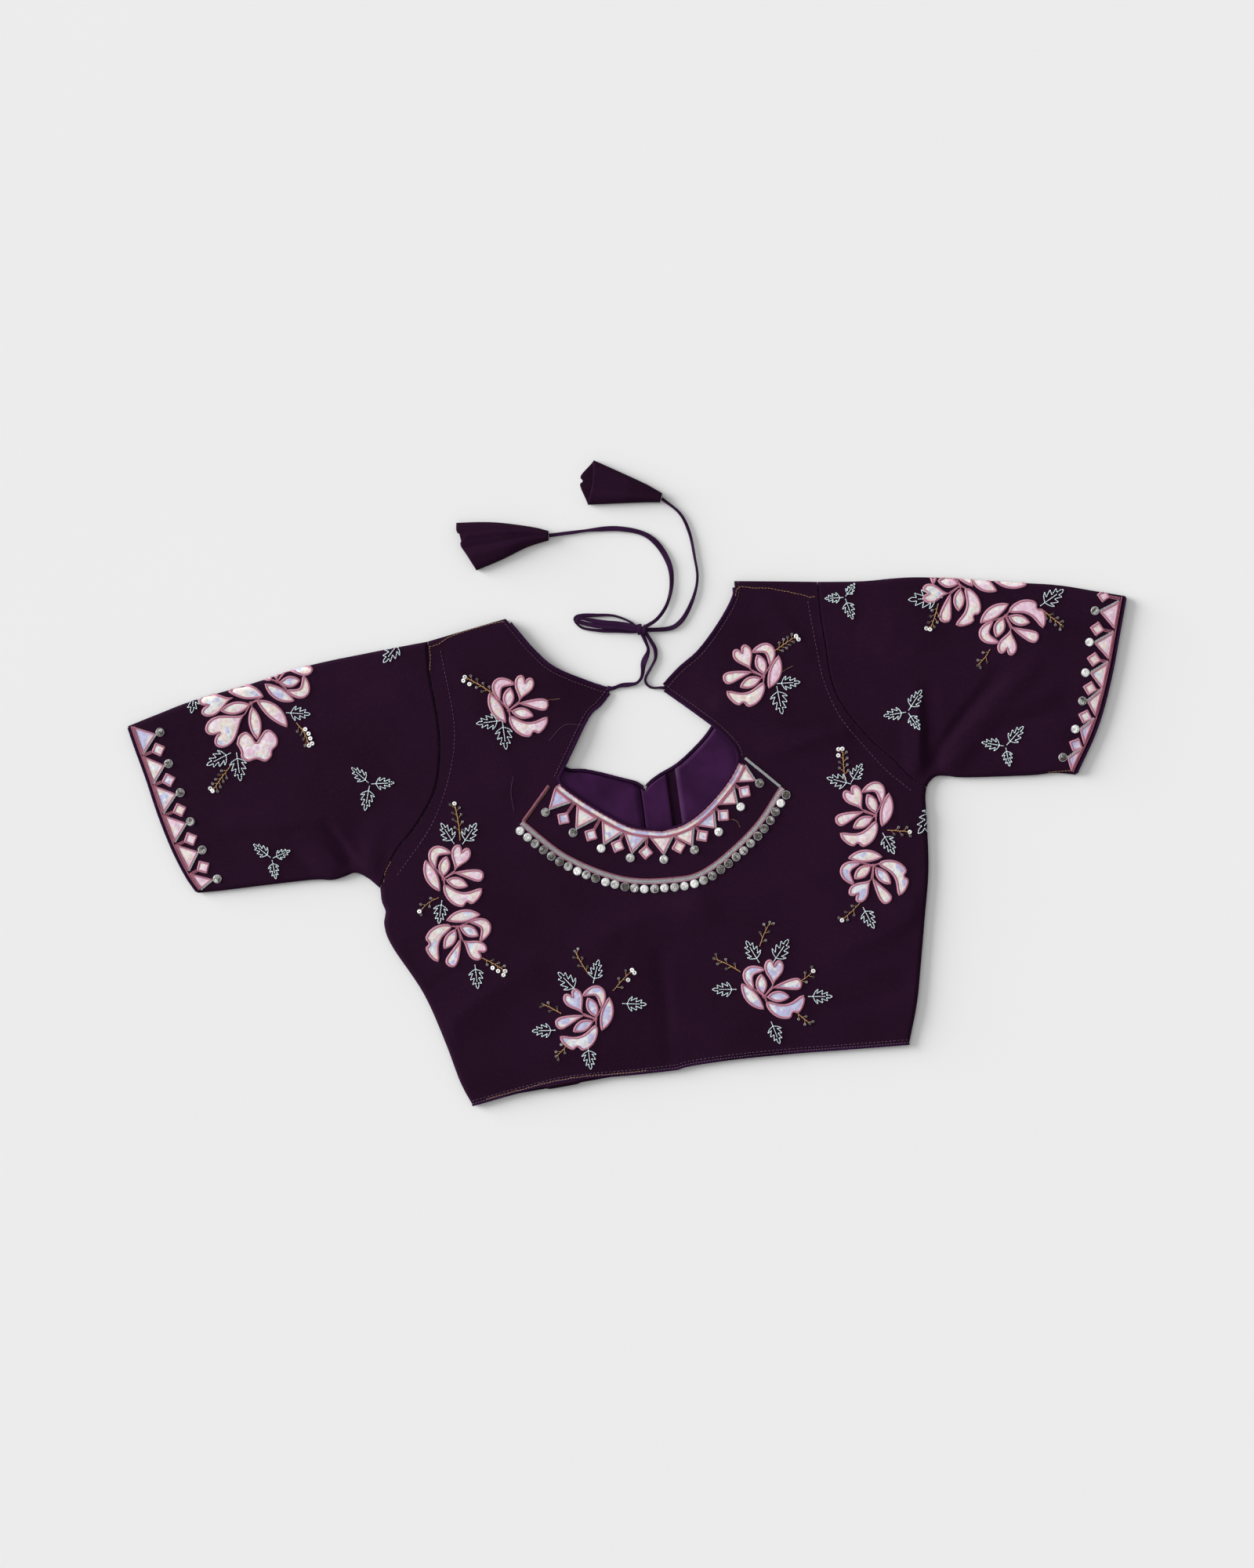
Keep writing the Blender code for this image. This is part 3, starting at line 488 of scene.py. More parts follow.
# Each cord: its stops, and rows of (share of its length, width, thickness, roll in degrees)
TIES = {
    "tie_left": {
        "stops": LEFT_STRAP_ROUTE + OUTER_LOOP_ROUTE + LONG_TAIL_ROUTE,
        "nodes": ("cord_left_strap", "cord_outer_loop", "cord_long_tail"),
        "widths": [
            (0, 4.4, 1.6, 0), (0.02, 3.0, 2.0, 20), (0.045, 3.9, 1.7, -10), (0.07, 2.4, 2.0, 0),
            (0.1, 3.4, 1.8, 15), (0.125, 4.9, 1.6, -12), (0.155, 2.4, 2.2, 30), (0.18, 3.2, 1.9, 0),
            (0.22, 2.0, 1.9, 0), (0.25, 1.7, 1.8, 20), (0.3, 2.6, 1.8, 0), (0.33, 3.4, 1.7, 0),
            (0.35, 2.8, 1.7, 0), (0.375, 2.0, 1.8, 0), (0.41, 2.4, 1.8, 0), (0.45, 3.2, 1.8, 0),
            (0.54, 3.0, 2.0, 0), (0.585, 2.9, 2.0, 20), (0.62, 2.8, 2.0, -15), (0.66, 3.7, 1.8, 8),
            (0.7, 4.5, 1.7, -8), (0.75, 4.8, 1.7, 6), (0.79, 3.9, 1.8, -10), (0.84, 4.2, 1.7, 8),
            (0.88, 3.9, 1.8, -6), (0.915, 2.3, 2.1, 30), (0.95, 2.9, 1.9, 0), (1, 3.0, 1.9, 0)],
    },
    "tie_right": {
        "stops": RIGHT_STRAP_ROUTE + INNER_LOOP_ROUTE + SHORT_TAIL_ROUTE,
        "nodes": ("cord_right_strap", "cord_inner_loop", "cord_short_tail"),
        "widths": [
            (0, 3.0, 1.8, 0), (0.02, 1.9, 2.0, 0), (0.05, 2.0, 2.1, 20), (0.08, 2.2, 2.0, -20),
            (0.11, 2.1, 2.1, 0), (0.14, 3.2, 1.9, 15), (0.18, 3.0, 1.9, 0), (0.22, 3.2, 1.6, 0),
            (0.26, 3.7, 1.5, 0), (0.31, 3.9, 1.5, 0), (0.345, 3.2, 1.5, 0), (0.362, 2.2, 1.6, 0),
            (0.38, 3.0, 1.5, 0), (0.42, 3.7, 1.5, 0), (0.48, 3.3, 1.7, 0), (0.54, 3.2, 1.9, 15),
            (0.59, 3.6, 1.8, 0), (0.63, 3.9, 1.8, -12), (0.68, 3.6, 1.8, 10), (0.73, 2.6, 2.0, 0),
            (0.77, 2.1, 2.1, 25), (0.83, 2.2, 2.1, -15), (0.9, 2.7, 2.0, 12), (0.96, 2.3, 2.0, 0),
            (1, 2.8, 1.9, 0)],
    },
}
TIE_STEP = 1.0
SECTION_SIDES = 16


# %% Make a strip along a route


def strip_rings(path, sides, widths, thicks, closed=False):
    """Rings of a flattened tube: each an oval with a shallow groove where it was pressed."""
    if closed:
        ahead = unit(np.roll(path, -1, axis=0) - np.roll(path, 1, axis=0))
    else:
        ahead = unit(np.gradient(path, axis=0))
    ups = unit(np.cross(sides, ahead))
    turn = np.linspace(0, 2 * math.pi, SECTION_SIDES, endpoint=False)
    out = np.sign(np.cos(turn)) * np.abs(np.cos(turn)) ** 0.8
    rise = np.sign(np.sin(turn)) * np.abs(np.sin(turn)) ** 0.7
    groove = 1 - 0.35 * np.exp(-(np.cos(turn) / 0.3) ** 2) * (np.sin(turn) > 0)
    rings = path[:, None] + sides[:, None] * (widths[:, None] / 2 * out)[..., None]
    return rings + ups[:, None] * (thicks[:, None] / 2 * rise * groove)[..., None]


def strip_object(name, rings, material, closed=False):
    count, around = rings.shape[:2]
    faces = grid_faces(count, around, closed=True)
    if closed:
        faces += last_to_first(count, around, around)
    else:
        faces += [tuple(range(around))[::-1], tuple((count - 1) * around + c for c in range(around))]
    return new_object(name, rings.reshape(-1, 3), faces, material)


def rolled(ahead, sides, degrees):
    """The sides' directions, turned about the route by an angle for each point."""
    angle = np.radians(degrees)[:, None]
    return sides * np.cos(angle) + np.cross(ahead, sides) * np.sin(angle)


def make_tie(name):
    spec = TIES[name]
    route = every(through(spec["stops"], 16), TIE_STEP)
    table = np.array(spec["widths"], float)
    shares = np.linspace(0, 1, len(route))
    smooth = through(table, 8)
    width, thick, roll = (np.interp(shares, smooth[:, 0], smooth[:, k]) for k in (1, 2, 3))
    ahead = unit(np.gradient(route, axis=0))
    sides = unit(np.cross(ahead, (0, 0, 1)))
    rings = strip_rings(route, rolled(ahead, sides, roll), width, thick)
    rings[..., 2] = np.maximum(rings[..., 2], 0.05)
    return seat(strip_object(name, rings, CLOTHS["cord_satin"]), "cord", *spec["nodes"]), route


ties = {name: make_tie(name) for name in TIES}
for name, (tie, route) in ties.items():
    print(name, "length", round(length_of(route), 1), "mm")

# %% [markdown]
# ## The bow's knot
# The knot is the cords themselves, wound once round the bundle and pulled tight. The strips pass
# through it, so only the two wraps that show on top are added, as closed bands of the same satin.

# %% Two wraps make the knot
KNOT_WRAPS = [
    {"at": (13.9, 168.9, 2.9), "along": (1.0, 0.12), "half": (3.9, 2.55), "width": 4.6,
     "nodes": ["bow_knot"]},
    {"at": (17.6, 168.0, 2.9), "along": (0.86, -0.5), "half": (3.7, 2.45), "width": 3.6,
     "nodes": []},
]
WRAP_THICK = 1.1


def make_knot():
    pieces = []
    for number, wrap in enumerate(KNOT_WRAPS, 1):
        axis = unit(np.array([*wrap["along"], 0.0]))
        across = np.array([-axis[1], axis[0], 0.0])
        turn = np.linspace(0, 2 * math.pi, 40, endpoint=False)[:, None]
        path = np.array(wrap["at"]) + wrap["half"][0] * np.cos(turn) * across
        path = path + wrap["half"][1] * np.sin(turn) * np.array([0, 0, 1.0])
        width = wrap["width"] * (1 + 0.12 * np.sin(3 * turn[:, 0]))
        ring = strip_rings(path, np.repeat(axis[None], len(path), 0), width,
                           np.full(len(path), WRAP_THICK), closed=True)
        ring[..., 2] = np.maximum(ring[..., 2], 0.05)
        band = strip_object(f"bow_wrap_{number}", ring, CLOTHS["cord_satin"], closed=True)
        pieces.append(seat(band, "cord", *wrap["nodes"]))
    return pieces


knot_wraps = make_knot()
print("knot wraps", len(knot_wraps))

# %% [markdown]
# ## The two tassels
# Each tassel is a square of the blouse's own cloth, folded into a cone and gathered on the cord.
# Pressed flat it is two layers: the upper one stops short, so the inside of the lower one shows
# in the mouth. The soft folds run from the neck to the mouth, as the gathers pull them.

# %% Shape the tassels' cloth
TASSELS = {
    "tassel_long": {
        "neck": ((-49.0, 258.0), (-49.6, 252.2)),
        "mouth": ((-122.5, 275.0), (-111.8, 236.0)),
        "upper_edge": [(0.174, -2.0), (0.514, -3.2), (0.749, -2.3)],
        "lower_edge": [(0.290, -1.5), (0.645, -0.1)],
        "upper_lip": [(0.166, -2.2), (0.290, 1.4), (0.420, -3.6), (0.700, -2.0)],
        "lower_lip": [(0.200, -1.0), (0.500, -2.6), (0.800, -1.0)],
        "folds": [(0.30, 0.07, 0.9), (0.55, 0.05, -0.7), (0.74, 0.08, 0.8)],
    },
    "tassel_short": {
        "neck": ((47.2, 275.6), (45.0, 270.2)),
        "mouth": ((-4.5, 310.1), (-13.7, 276.5)),
        "upper_edge": [(0.253, -1.0), (0.565, -0.7), (0.794, -0.4)],
        "lower_edge": [(0.193, -0.4), (0.570, -0.3)],
        "upper_lip": [(0.494, 1.6)],
        "lower_lip": [(0.366, -8.7), (0.488, -6.4), (0.600, -8.3)],
        "folds": [(0.35, 0.08, 0.6), (0.62, 0.06, -0.6), (0.80, 0.06, 0.5)],
    },
}
TASSEL_HEIGHTS = (4.6, 5.8, 4.6)
TASSEL_ROUND = (0.42, 0.20, 0.14)
CLOTH = 1.0


def rounding(share):
    """The height of a quarter ellipse: 0 at share 0, rising to 1 at share 1."""
    return np.sqrt(1 - (1 - np.clip(share, 0, 1)) ** 2)


def line_between(ends, shares):
    return ends[0] + shares[:, None] * (ends[-1] - ends[0])


def patch(first, last, upper, lower, along, sections):
    """Fills four edges: each row blends the first line into the last one, with its ends moved
    onto the upper and lower edges."""
    rows = []
    for share, high, low, shares in zip(along, upper, lower, sections):
        line = (1 - share) * at_shares(first, shares) + share * at_shares(last, shares)
        rows.append(line - line_between(line, shares)
                    + line_between(np.array([high, low]), shares))
    return np.array(rows)


def give_wall(item, thick):
    wall = item.modifiers.new("cloth", "SOLIDIFY")
    wall.thickness = thick * MM
    wall.offset = -1
    wall.use_rim = True
    return item


def make_tassel(name):
    spec = TASSELS[name]
    (neck_a, neck_b), (mouth_a, mouth_b) = spec["neck"], spec["mouth"]
    along = np.linspace(0, 1, 40)
    edges = [at_shares(bowed(neck_a, mouth_a, spec["upper_edge"]), along),
             at_shares(bowed(neck_b, mouth_b, spec["lower_edge"]), along)]
    round_by = np.interp(along, (0, 0.5, 1), TASSEL_ROUND)[:, None]
    ends = round_by * np.array([0, 0.03, 0.1, 0.2, 0.35, 0.5, 0.7, 0.85, 1.0])
    middle = ends[:, -1:] + (1 - 2 * ends[:, -1:]) * np.linspace(0, 1, 22)[1:-1]
    sections = np.concatenate([ends, middle, 1 - ends[:, ::-1]], axis=1)
    neck = np.array([neck_a, neck_b])
    layers = [patch(neck, bowed(mouth_a, mouth_b, spec[lip]), *edges, along, sections)
              for lip in ("upper_lip", "lower_lip")]
    turn = rounding(np.minimum(sections, 1 - sections) / round_by)
    tops = np.interp(along, (0, 0.5, 1), TASSEL_HEIGHTS)[:, None] * np.ones_like(sections)
    for share, half, rise in spec["folds"]:
        tops += rise * along[:, None] ** 0.7 * np.exp(-((sections - share) / half) ** 2)
    fold = TASSEL_HEIGHTS[0] / 2
    over = np.concatenate([layers[0], (fold + (tops - fold) * turn)[..., None]], axis=2)
    under = np.concatenate([layers[1], (fold * (1 - turn))[..., None]], axis=2)[:, -2:0:-1]
    rings = np.concatenate([over, under], axis=1)
    faces = grid_faces(rings.shape[0], rings.shape[1], closed=True)
    piece = new_object(f"{name}_cloth", rings.reshape(-1, 3), faces, CLOTHS["aubergine_crepe"])
    return seat(give_wall(piece, CLOTH), "cloth", name)


tassels = {name: make_tassel(name) for name in TASSELS}
for name, tassel, extra in (("tie_left", "tassel_long", knot_wraps), ("tie_right", "tassel_short", [])):
    tie, route = ties[name]
print("tassels", sorted(tassels))

# %% [markdown]
# ## The cut of the cloth
# The seams and edges are the solids' own: each is a smooth line between two corners, with a few
# bows to the left of the straight way. The folds are the ones that the solids have. The creases
# after them are finer, and only the dressed cloth has them.

# %% Corners and edges of the cut pieces (mm)
CORNERS = {
    "hem_left": (-175.3, -197.0), "hem_right": (184.8, -197.0), "hem_centre": (-6.0, -191.0),
    "underarm_left": (-225.4, -11.1), "underarm_right": (228.0, 8.0),
    "shoulder_left": (-158.7, 183.1), "shoulder_right": (162.9, 187.1),
    "neck_left": (-93.3, 192.7), "neck_right": (96.0, 197.1),
    "tip_left": (-16.5, 123.1), "tip_right": (25.6, 119.1),
    "scoop_left": (-69.7, 57.5), "scoop_right": (79.8, 54.0), "scoop_low": (9.2, 2.8),
    "cuff_top_left": (-411.1, 148.8), "cuff_top_right": (411.1, 140.5),
    "cuff_low_left": (-373.6, 5.9), "cuff_low_right": (350.3, 1.7), "front_low": (0.4, 38.8),
}
EDGES = {
    "side_left": ("hem_left", "underarm_left", [
        (0.112, 1.9), (0.3, 0.4), (0.519, 1.2), (0.754, 9.7), (0.85, 8.8), (0.899, 3.4),
        (0.945, 3.1)]),
    "side_right": ("hem_right", "underarm_right", [
        (0.158, -4.2), (0.311, -5.2), (0.486, -5.8), (0.681, -6.2), (0.863, -2.3), (0.961, 0.3)]),
    "armhole_left": ("underarm_left", "shoulder_left", [
        (0.153, -7.0), (0.265, -18.8), (0.418, -29.0), (0.563, -27.8), (0.696, -21.2), (0.873, -7.0)]),
    "armhole_right": ("underarm_right", "shoulder_right", [
        (0.063, 7.3), (0.175, 13.7), (0.304, 22.8), (0.461, 29.0), (0.588, 28.4), (0.754, 18.2),
        (0.898, 8.6)]),
    "shoulder_left": ("shoulder_left", "neck_left", [(0.144, 0.6), (0.625, 1.9)]),
    "shoulder_right": ("shoulder_right", "neck_right", [(0.66, -2.1)]),
    "strap_left": ("tip_left", "neck_left", [(0.161, 5.1), (0.461, 11.6), (0.679, 9.1), (0.861, 4.1)]),
    "strap_right": ("tip_right", "neck_right", [
        (0.196, -3.1), (0.401, -8.6), (0.68, -9.6), (0.904, -6.8)]),
    "tip_left": ("scoop_left", "tip_left", [(0.277, 2.1), (0.672, 5.0), (0.828, 1.7)]),
    "tip_right": ("scoop_right", "tip_right", [(0.099, -4.5), (0.328, -5.9), (0.613, -3.9)]),
    "scoop_left": ("scoop_low", "scoop_left", [(0.24, 8.4), (0.49, 9.0), (0.746, 7.1), (0.934, 4.0)]),
    "scoop_right": ("scoop_low", "scoop_right", [
        (0.191, -8.5), (0.436, -11.3), (0.737, -9.0), (0.933, -4.2)]),
    "hem_left": ("hem_centre", "hem_left", [(0.185, -1.9), (0.527, -6.3), (0.769, -3.9)]),
    "hem_right": ("hem_centre", "hem_right", [(0.064, 2.0), (0.251, 3.4), (0.502, 3.0), (0.739, 1.5)]),
    "sleeve_top_left": ("shoulder_left", "cuff_top_left", [
        (0.186, -4.1), (0.391, -7.5), (0.583, -6.0), (0.774, -5.7), (0.9, -2.8)]),
    "sleeve_top_right": ("shoulder_right", "cuff_top_right", [
        (0.145, 2.3), (0.334, 7.7), (0.651, 6.9), (0.778, 6.4), (0.906, 2.8)]),
    "sleeve_under_left": ("underarm_left", "cuff_low_left", [
        (0.063, -8.2), (0.13, -13.0), (0.191, -10.2), (0.26, -7.6), (0.363, -8.2), (0.621, -4.9),
        (0.867, -1.4)]),
    "sleeve_under_right": ("underarm_right", "cuff_low_right", [
        (0.022, 4.2), (0.072, 8.4), (0.15, 7.8), (0.269, 5.4), (0.688, 2.7), (0.856, 2.9)]),
    "cuff_left": ("cuff_top_left", "cuff_low_left", [
        (0.121, -1.2), (0.31, -2.5), (0.511, -4.7), (0.715, -5.3), (0.886, -3.5)]),
    "cuff_right": ("cuff_top_right", "cuff_low_right", [(0.162, 2.3), (0.458, 6.2), (0.725, 6.3)]),
    "front_neck_left": ("front_low", "neck_left", [
        (0.018, 1.2), (0.052, 3.4), (0.103, 10.2), (0.18, 20.4), (0.241, 29.4), (0.299, 40.0),
        (0.406, 42.2), (0.571, 32.8), (0.76, 18.9)]),
    "front_neck_right": ("front_low", "neck_right", [
        (0.034, -1.6), (0.083, -6.8), (0.154, -16.3), (0.245, -24.1), (0.344, -29.9), (0.478, -32.9),
        (0.653, -27.4), (0.816, -16.6)]),
}

# %% Folds of the solids, and the finer creases of the cloth (mm)


def table(columns, *rows):
    """Rows with named columns. The names come once, in the order of each row's values."""
    return [dict(zip(columns.split(), row)) for row in rows]


FOLDS = table(
    "from to half rise",
    ((-262, 46), (-243, 8), 9, (-0.6, -2.0)), ((-281, 34), (-255, 2), 13, (0.4, 1.6)),
    ((-301, 29), (-272, 4), 8, (-0.5, -1.4)), ((-222, 36), (-232, 6), 13, (0.5, 1.4)),
    ((-331, 60), (-255, 46), 20, (0.7, 0.9)), ((226, 84), (222, 28), 13, (0.4, 1.7)),
    ((241, 86), (237, 26), 10, (-0.7, -1.2)), ((236, 26), (299, 92), 11, (-0.9, -0.6)),
    ((252, 26), (325, 92), 13, (1.4, 0.6)), ((292, 45), (349, 56), 15, (-0.4, -0.9)),
    ((72, 100), (150, 72), 12, (1.3, 0.6)), ((106, 56), (165, 62), 13, (0.6, 1.0)),
    ((-57, -78), (27, -62), 26, (0.9, 1.2)), ((27, -64), (86, -104), 24, (1.2, 0.8)),
    ((-7, -100), (-10, -180), 12, (-0.8, -0.5)), ((-190, -132), (-115, -94), 22, (1.2, 0.8)),
    ((-214, -72), (-150, -60), 20, (-0.8, -0.4)), ((206, -88), (140, -114), 20, (1.1, 0.7)),
    ((186, -148), (120, -160), 18, (-0.8, -0.4)), ((120, 168), (146, 134), 16, (0.7, 0.9)),
    ((-136, 158), (-110, 60), 22, (0.6, 0.8)))
CREASES = table(
    "from to bow half rise",
    ((-262, 46), (-245, 12), 2, 2.4, -0.9), ((-257, 44), (-238, 12), 1, 3.2, 0.7),
    ((-278, 36), (-256, 12), 3, 3.0, 0.5), ((-300, 30), (-273, 10), 2, 3.0, -0.6),
    ((-330, 62), (-262, 50), -4, 5.0, 0.5), ((-352, 44), (-300, 40), 3, 6.0, -0.4),
    ((-250, 90), (-218, 60), 5, 5.0, 0.4), ((-196, 130), (-176, 98), -4, 4.5, -0.4),
    ((-214, 150), (-172, 130), 4, 6.0, 0.45), ((-360, 110), (-330, 70), 4, 7.0, 0.35),
    ((236, 83), (229, 20), 2, 2.2, -1.0), ((230, 86), (223, 26), 2, 2.8, 0.9),
    ((229, 22), (299, 92), 3, 3.2, -0.8), ((236, 20), (312, 90), 3, 4.2, 0.7),
    ((243, 35), (324, 92), -3, 4.0, 0.4), ((292, 45), (349, 54), 3, 4.0, -0.5),
    ((300, 60), (356, 84), -3, 6.0, 0.4), ((187, 129), (196, 158), 3, 4.0, -0.4),
    ((206, 120), (222, 150), -3, 5.0, 0.4), ((69, 102), (158, 71), -5, 3.5, 0.5),
    ((116, 53), (165, 63), 3, 3.5, 0.45), ((55, 108), (60, 93), 1, 2.5, -0.3),
    ((-57, -78), (10, -62), 4, 5.0, 0.5), ((27, -64), (74, -98), -4, 5.0, 0.4),
    ((-7, -102), (-11, -186), 2, 3.0, -0.4), ((-190, -133), (-115, -96), 5, 4.0, 0.5),
    ((-202, -101), (-157, -86), 3, 4.0, -0.4), ((212, -90), (140, -114), 4, 4.5, 0.4),
    ((191, -152), (134, -157), 3, 4.0, -0.4), ((120, 168), (145, 135), 3, 4.0, 0.4),
    ((-148, 160), (-132, 150), 2, 3.0, 0.4), ((-146, 142), (-128, 132), -2, 3.0, -0.3),
    ((-144, 124), (-126, 118), 2, 3.0, 0.35), ((-120, -20), (-60, -60), 6, 7.0, 0.3),
    ((60, -60), (150, -40), -6, 8.0, 0.3), ((-30, -60), (-60, -120), 5, 8.0, -0.3))

# %% [markdown]
# ## How high the upper cloth lies
# The back and the sleeves' upper layers float a few millimetres above the surface, on the layers
# below. One height function gives all of them, so cloth that meets at a seam meets in height too.
# It is a level, plus the folds and creases, and it falls where the cloth turns under at an edge.

# %% Heights of the solids' cloth (mm)
SEAM_GAP = 0.3
UPPER_RIM, LOWER_RIM, SLEEVE_FOLD = 3.00, 1.25, 2.0
EDGE_ROUND, FOLD_FADE = 4.0, 12.0
BODY_HEIGHT, SLEEVE_HEIGHT = 5.4, 5.0
OPEN_EDGE_HEIGHT, OPEN_EDGE_REACH = 4.2, 26.0
TIP_HEIGHT, TIP_REACH = 2.2, 54.0
LINING_TOP = 2 * CLOTH + SEAM_GAP
LINING_INSET, LINING_NECK_INSET, LINING_HEM_INSET = 7.0, 1.4, 2.5
ARMHOLE_GAP = 0.4


def edge(name):
    first, last, bows = EDGES[name]
    return bowed(CORNERS[first], CORNERS[last], bows)


def bump(share):
    """1 at share 0, falling smoothly to 0 at share 1 and beyond."""
    return np.clip(1 - np.clip(share, 0, None) ** 2, 0, 1) ** 2


def fold_rise(points, folds):
    rise = np.zeros(len(points))
    for fold in folds:
        a, b = np.array(fold["from"], float), np.array(fold["to"], float)
        t = np.clip((points - a) @ (b - a) / ((b - a) @ (b - a)), 0, 1)
        away = np.linalg.norm(points - a - t[:, None] * (b - a), axis=1)
        start, end = fold["rise"]
        rise += (start + (end - start) * t) * bump(away / fold["half"])
    return rise


def crease_rise(points):
    """Narrow ridges and troughs that fade towards both of their ends."""
    rise = np.zeros(len(points))
    for crease in CREASES:
        a, b = np.array(crease["from"], float), np.array(crease["to"], float)
        line = bowed(a, b, [(0.5, crease["bow"])])
        near = distance_to(np.array([a, b]), points) < 4 * crease["half"] + abs(crease["bow"])
        if near.any():
            spots = points[near]
            along = np.clip((spots - a) @ (b - a) / ((b - a) @ (b - a)), 0, 1)
            taper = np.sin(math.pi * np.clip(along, 0.02, 0.98)) ** 0.6
            away = distance_to(line, spots) / crease["half"]
            rise[near] += crease["rise"] * taper * np.exp(-away ** 2)
    return rise


def rounded_edges():
    """The folds and seams where the wall turns under: sides, shoulders and sleeve edges."""
    names = ("side", "shoulder", "sleeve_top", "sleeve_under")
    return [edge(f"{name}_{side}") for name in names for side in ("left", "right")]


OPEN_EDGES = [np.vstack([edge("hem_left")[::-1], edge("hem_right")]), edge("cuff_left"),
              edge("cuff_right")]


def to_rounded(points):
    return np.min([distance_to(line, points) for line in rounded_edges()], axis=0)


def upper_height(points, base):
    """Height of the upper layer's outer face, before it turns under at the edges."""
    steady = 1 - bump(to_rounded(points) / FOLD_FADE)
    height = base + (fold_rise(points, FOLDS) + crease_rise(points)) * steady
    near_open = np.min([distance_to(line, points) for line in OPEN_EDGES], axis=0)
    height += (OPEN_EDGE_HEIGHT - base) * bump(near_open / OPEN_EDGE_REACH)
    for tip in ("tip_left", "tip_right"):
        away = np.linalg.norm(points - np.array(CORNERS[tip]), axis=1)
        height += (TIP_HEIGHT - base) * bump(away / TIP_REACH)
    return height


def turn_under(points):
    """0 on a rounded edge, rising to 1 where the wall is flat again."""
    return rounding(to_rounded(points) / EDGE_ROUND)


def top_face(points, base, rim):
    """Height of the upper layer's outer face, which falls to a rim at the rounded edges."""
    return rim + (upper_height(points, base) - rim) * turn_under(points)


print("folds", len(FOLDS), "creases", len(CREASES))

# %% [markdown]
# ## Cloth from rows of points
# Each panel is a net of points. A row runs from the side seam, or from the armhole, in to the
# centre line or to the neck, and the rows are close together where the cloth turns under. The
# net becomes an open sheet, and a Solidify modifier makes it a millimetre thick.

# %% Rows of a panel
EDGE_STEPS = np.array([0.0, 0.25, 0.6, 1.1, 1.7, 2.4, 3.1, 4.0, 4.8])
SHARE_JOINS = (0.40, 0.68)


def armhole_rows(count):
    """Shares of the armhole's length, close together at both ends, with the neck's two joins."""
    ends = np.array([0.0, 0.0015, 0.003, 0.0055, 0.0085, 0.012, 0.016, 0.02, 0.025])
    low, high = SHARE_JOINS
    middle = [np.linspace(a, b, max(2, round(count * (b - a))) + 1)[1:]
              for a, b in ((ends[-1], low), (low, high), (high, 1 - ends[-1]))]
    return np.concatenate([ends, *middle, (1 - ends[::-1])[1:]])


ROWS_UP = armhole_rows(84)


def across(outer, inner, count):
    """Points from the outer edge to the inner one, close together where the wall turns under."""
    reach = np.linalg.norm(inner - outer)
    shares = np.concatenate([EDGE_STEPS / reach, np.linspace(EDGE_STEPS[-1] / reach, 1, count + 1)[1:]])
    return outer + shares[:, None] * (inner - outer)


def neck_points(side):
    """Points of the back's neck edge: the scoop, then the strap's lower edge, then its upper."""
    low, high = SHARE_JOINS
    rows = ROWS_UP
    scoop = at_shares(edge(f"scoop_{side}"), rows[rows < low] / low)
    tip = at_shares(edge(f"tip_{side}"), (rows[(rows >= low) & (rows < high)] - low) / (high - low))
    strap = at_shares(edge(f"strap_{side}"), (rows[rows >= high] - high) / (1 - high))
    return scoop, tip, strap


def panel(side, below, neck, hem_shift, rows_down, count):
    """A half panel: rows from the side seam to the centre line, then from armhole to neck."""
    sides = at_shares(edge(f"side_{side}"), np.linspace(0, 1, rows_down + 1))[:-1]
    centre = at_shares(np.array([below, neck[0]]), np.linspace(0, 1, rows_down + 1))[:-1]
    outer = np.concatenate([sides, at_shares(edge(f"armhole_{side}"), ROWS_UP)])
    inner = np.concatenate([centre, neck])
    rows = np.array([across(a, b, count) for a, b in zip(outer, inner)])
    hem = edge(f"hem_{side}")
    order = np.argsort(hem[:, 0])
    rows[0, :, 1] = np.interp(rows[0, :, 0], hem[order, 0], hem[order, 1]) + hem_shift
    return rows


@contextmanager
def edited(item):
    """An object's mesh as a bmesh, which is put back when the changes are made."""
    bm = bmesh.new()
    bm.from_mesh(item.data)
    yield bm
    bm.to_mesh(item.data)
    bm.free()


def sheet_object(name, grids, material, closed=False, facing_up=True):
    """One mesh over nets of points. closed joins each row's last point to its first."""
    points, faces = [], []
    for grid in grids:
        faces += grid_faces(grid.shape[0], grid.shape[1], closed, sum(len(p) for p in points))
        points.append(grid.reshape(-1, 3))
    item = new_object(name, np.concatenate(points), faces, material)
    with edited(item) as bm:
        bmesh.ops.remove_doubles(bm, verts=bm.verts, dist=0.01 * MM)
        bmesh.ops.recalc_face_normals(bm, faces=bm.faces)
        if not closed and (sum(f.normal.z * f.calc_area() for f in bm.faces) > 0) != facing_up:
            bmesh.ops.reverse_faces(bm, faces=bm.faces)
    return item


def raised(flat, height, shape):
    return np.concatenate([flat, height[:, None]], axis=1).reshape(*shape, 3)


# %% The back
def make_back():
    grids = []
    for side in ("left", "right"):
        rows = panel(side, CORNERS["hem_centre"], np.concatenate(neck_points(side)), 0, 64, 62)
        flat = rows.reshape(-1, 2)
        grids.append(raised(flat, top_face(flat, BODY_HEIGHT, UPPER_RIM), rows.shape[:2]))
    back = sheet_object("back_cloth", grids, CLOTHS["aubergine_crepe"])
    return seat(give_wall(back, CLOTH), "cloth", "back_panel")


back_cloth = make_back()
print("back", len(back_cloth.data.polygons), "faces")

# %% [markdown]
# ## The two fronts and their lining
# The fronts lie under the back, so only their neck edge shows, with the purple satin lining and
# the band that hides the hooks. The linings are puckered a little, as pressed satin is, and they
# stop short of the centre, where a strip of the outer cloth is turned in as a facing.

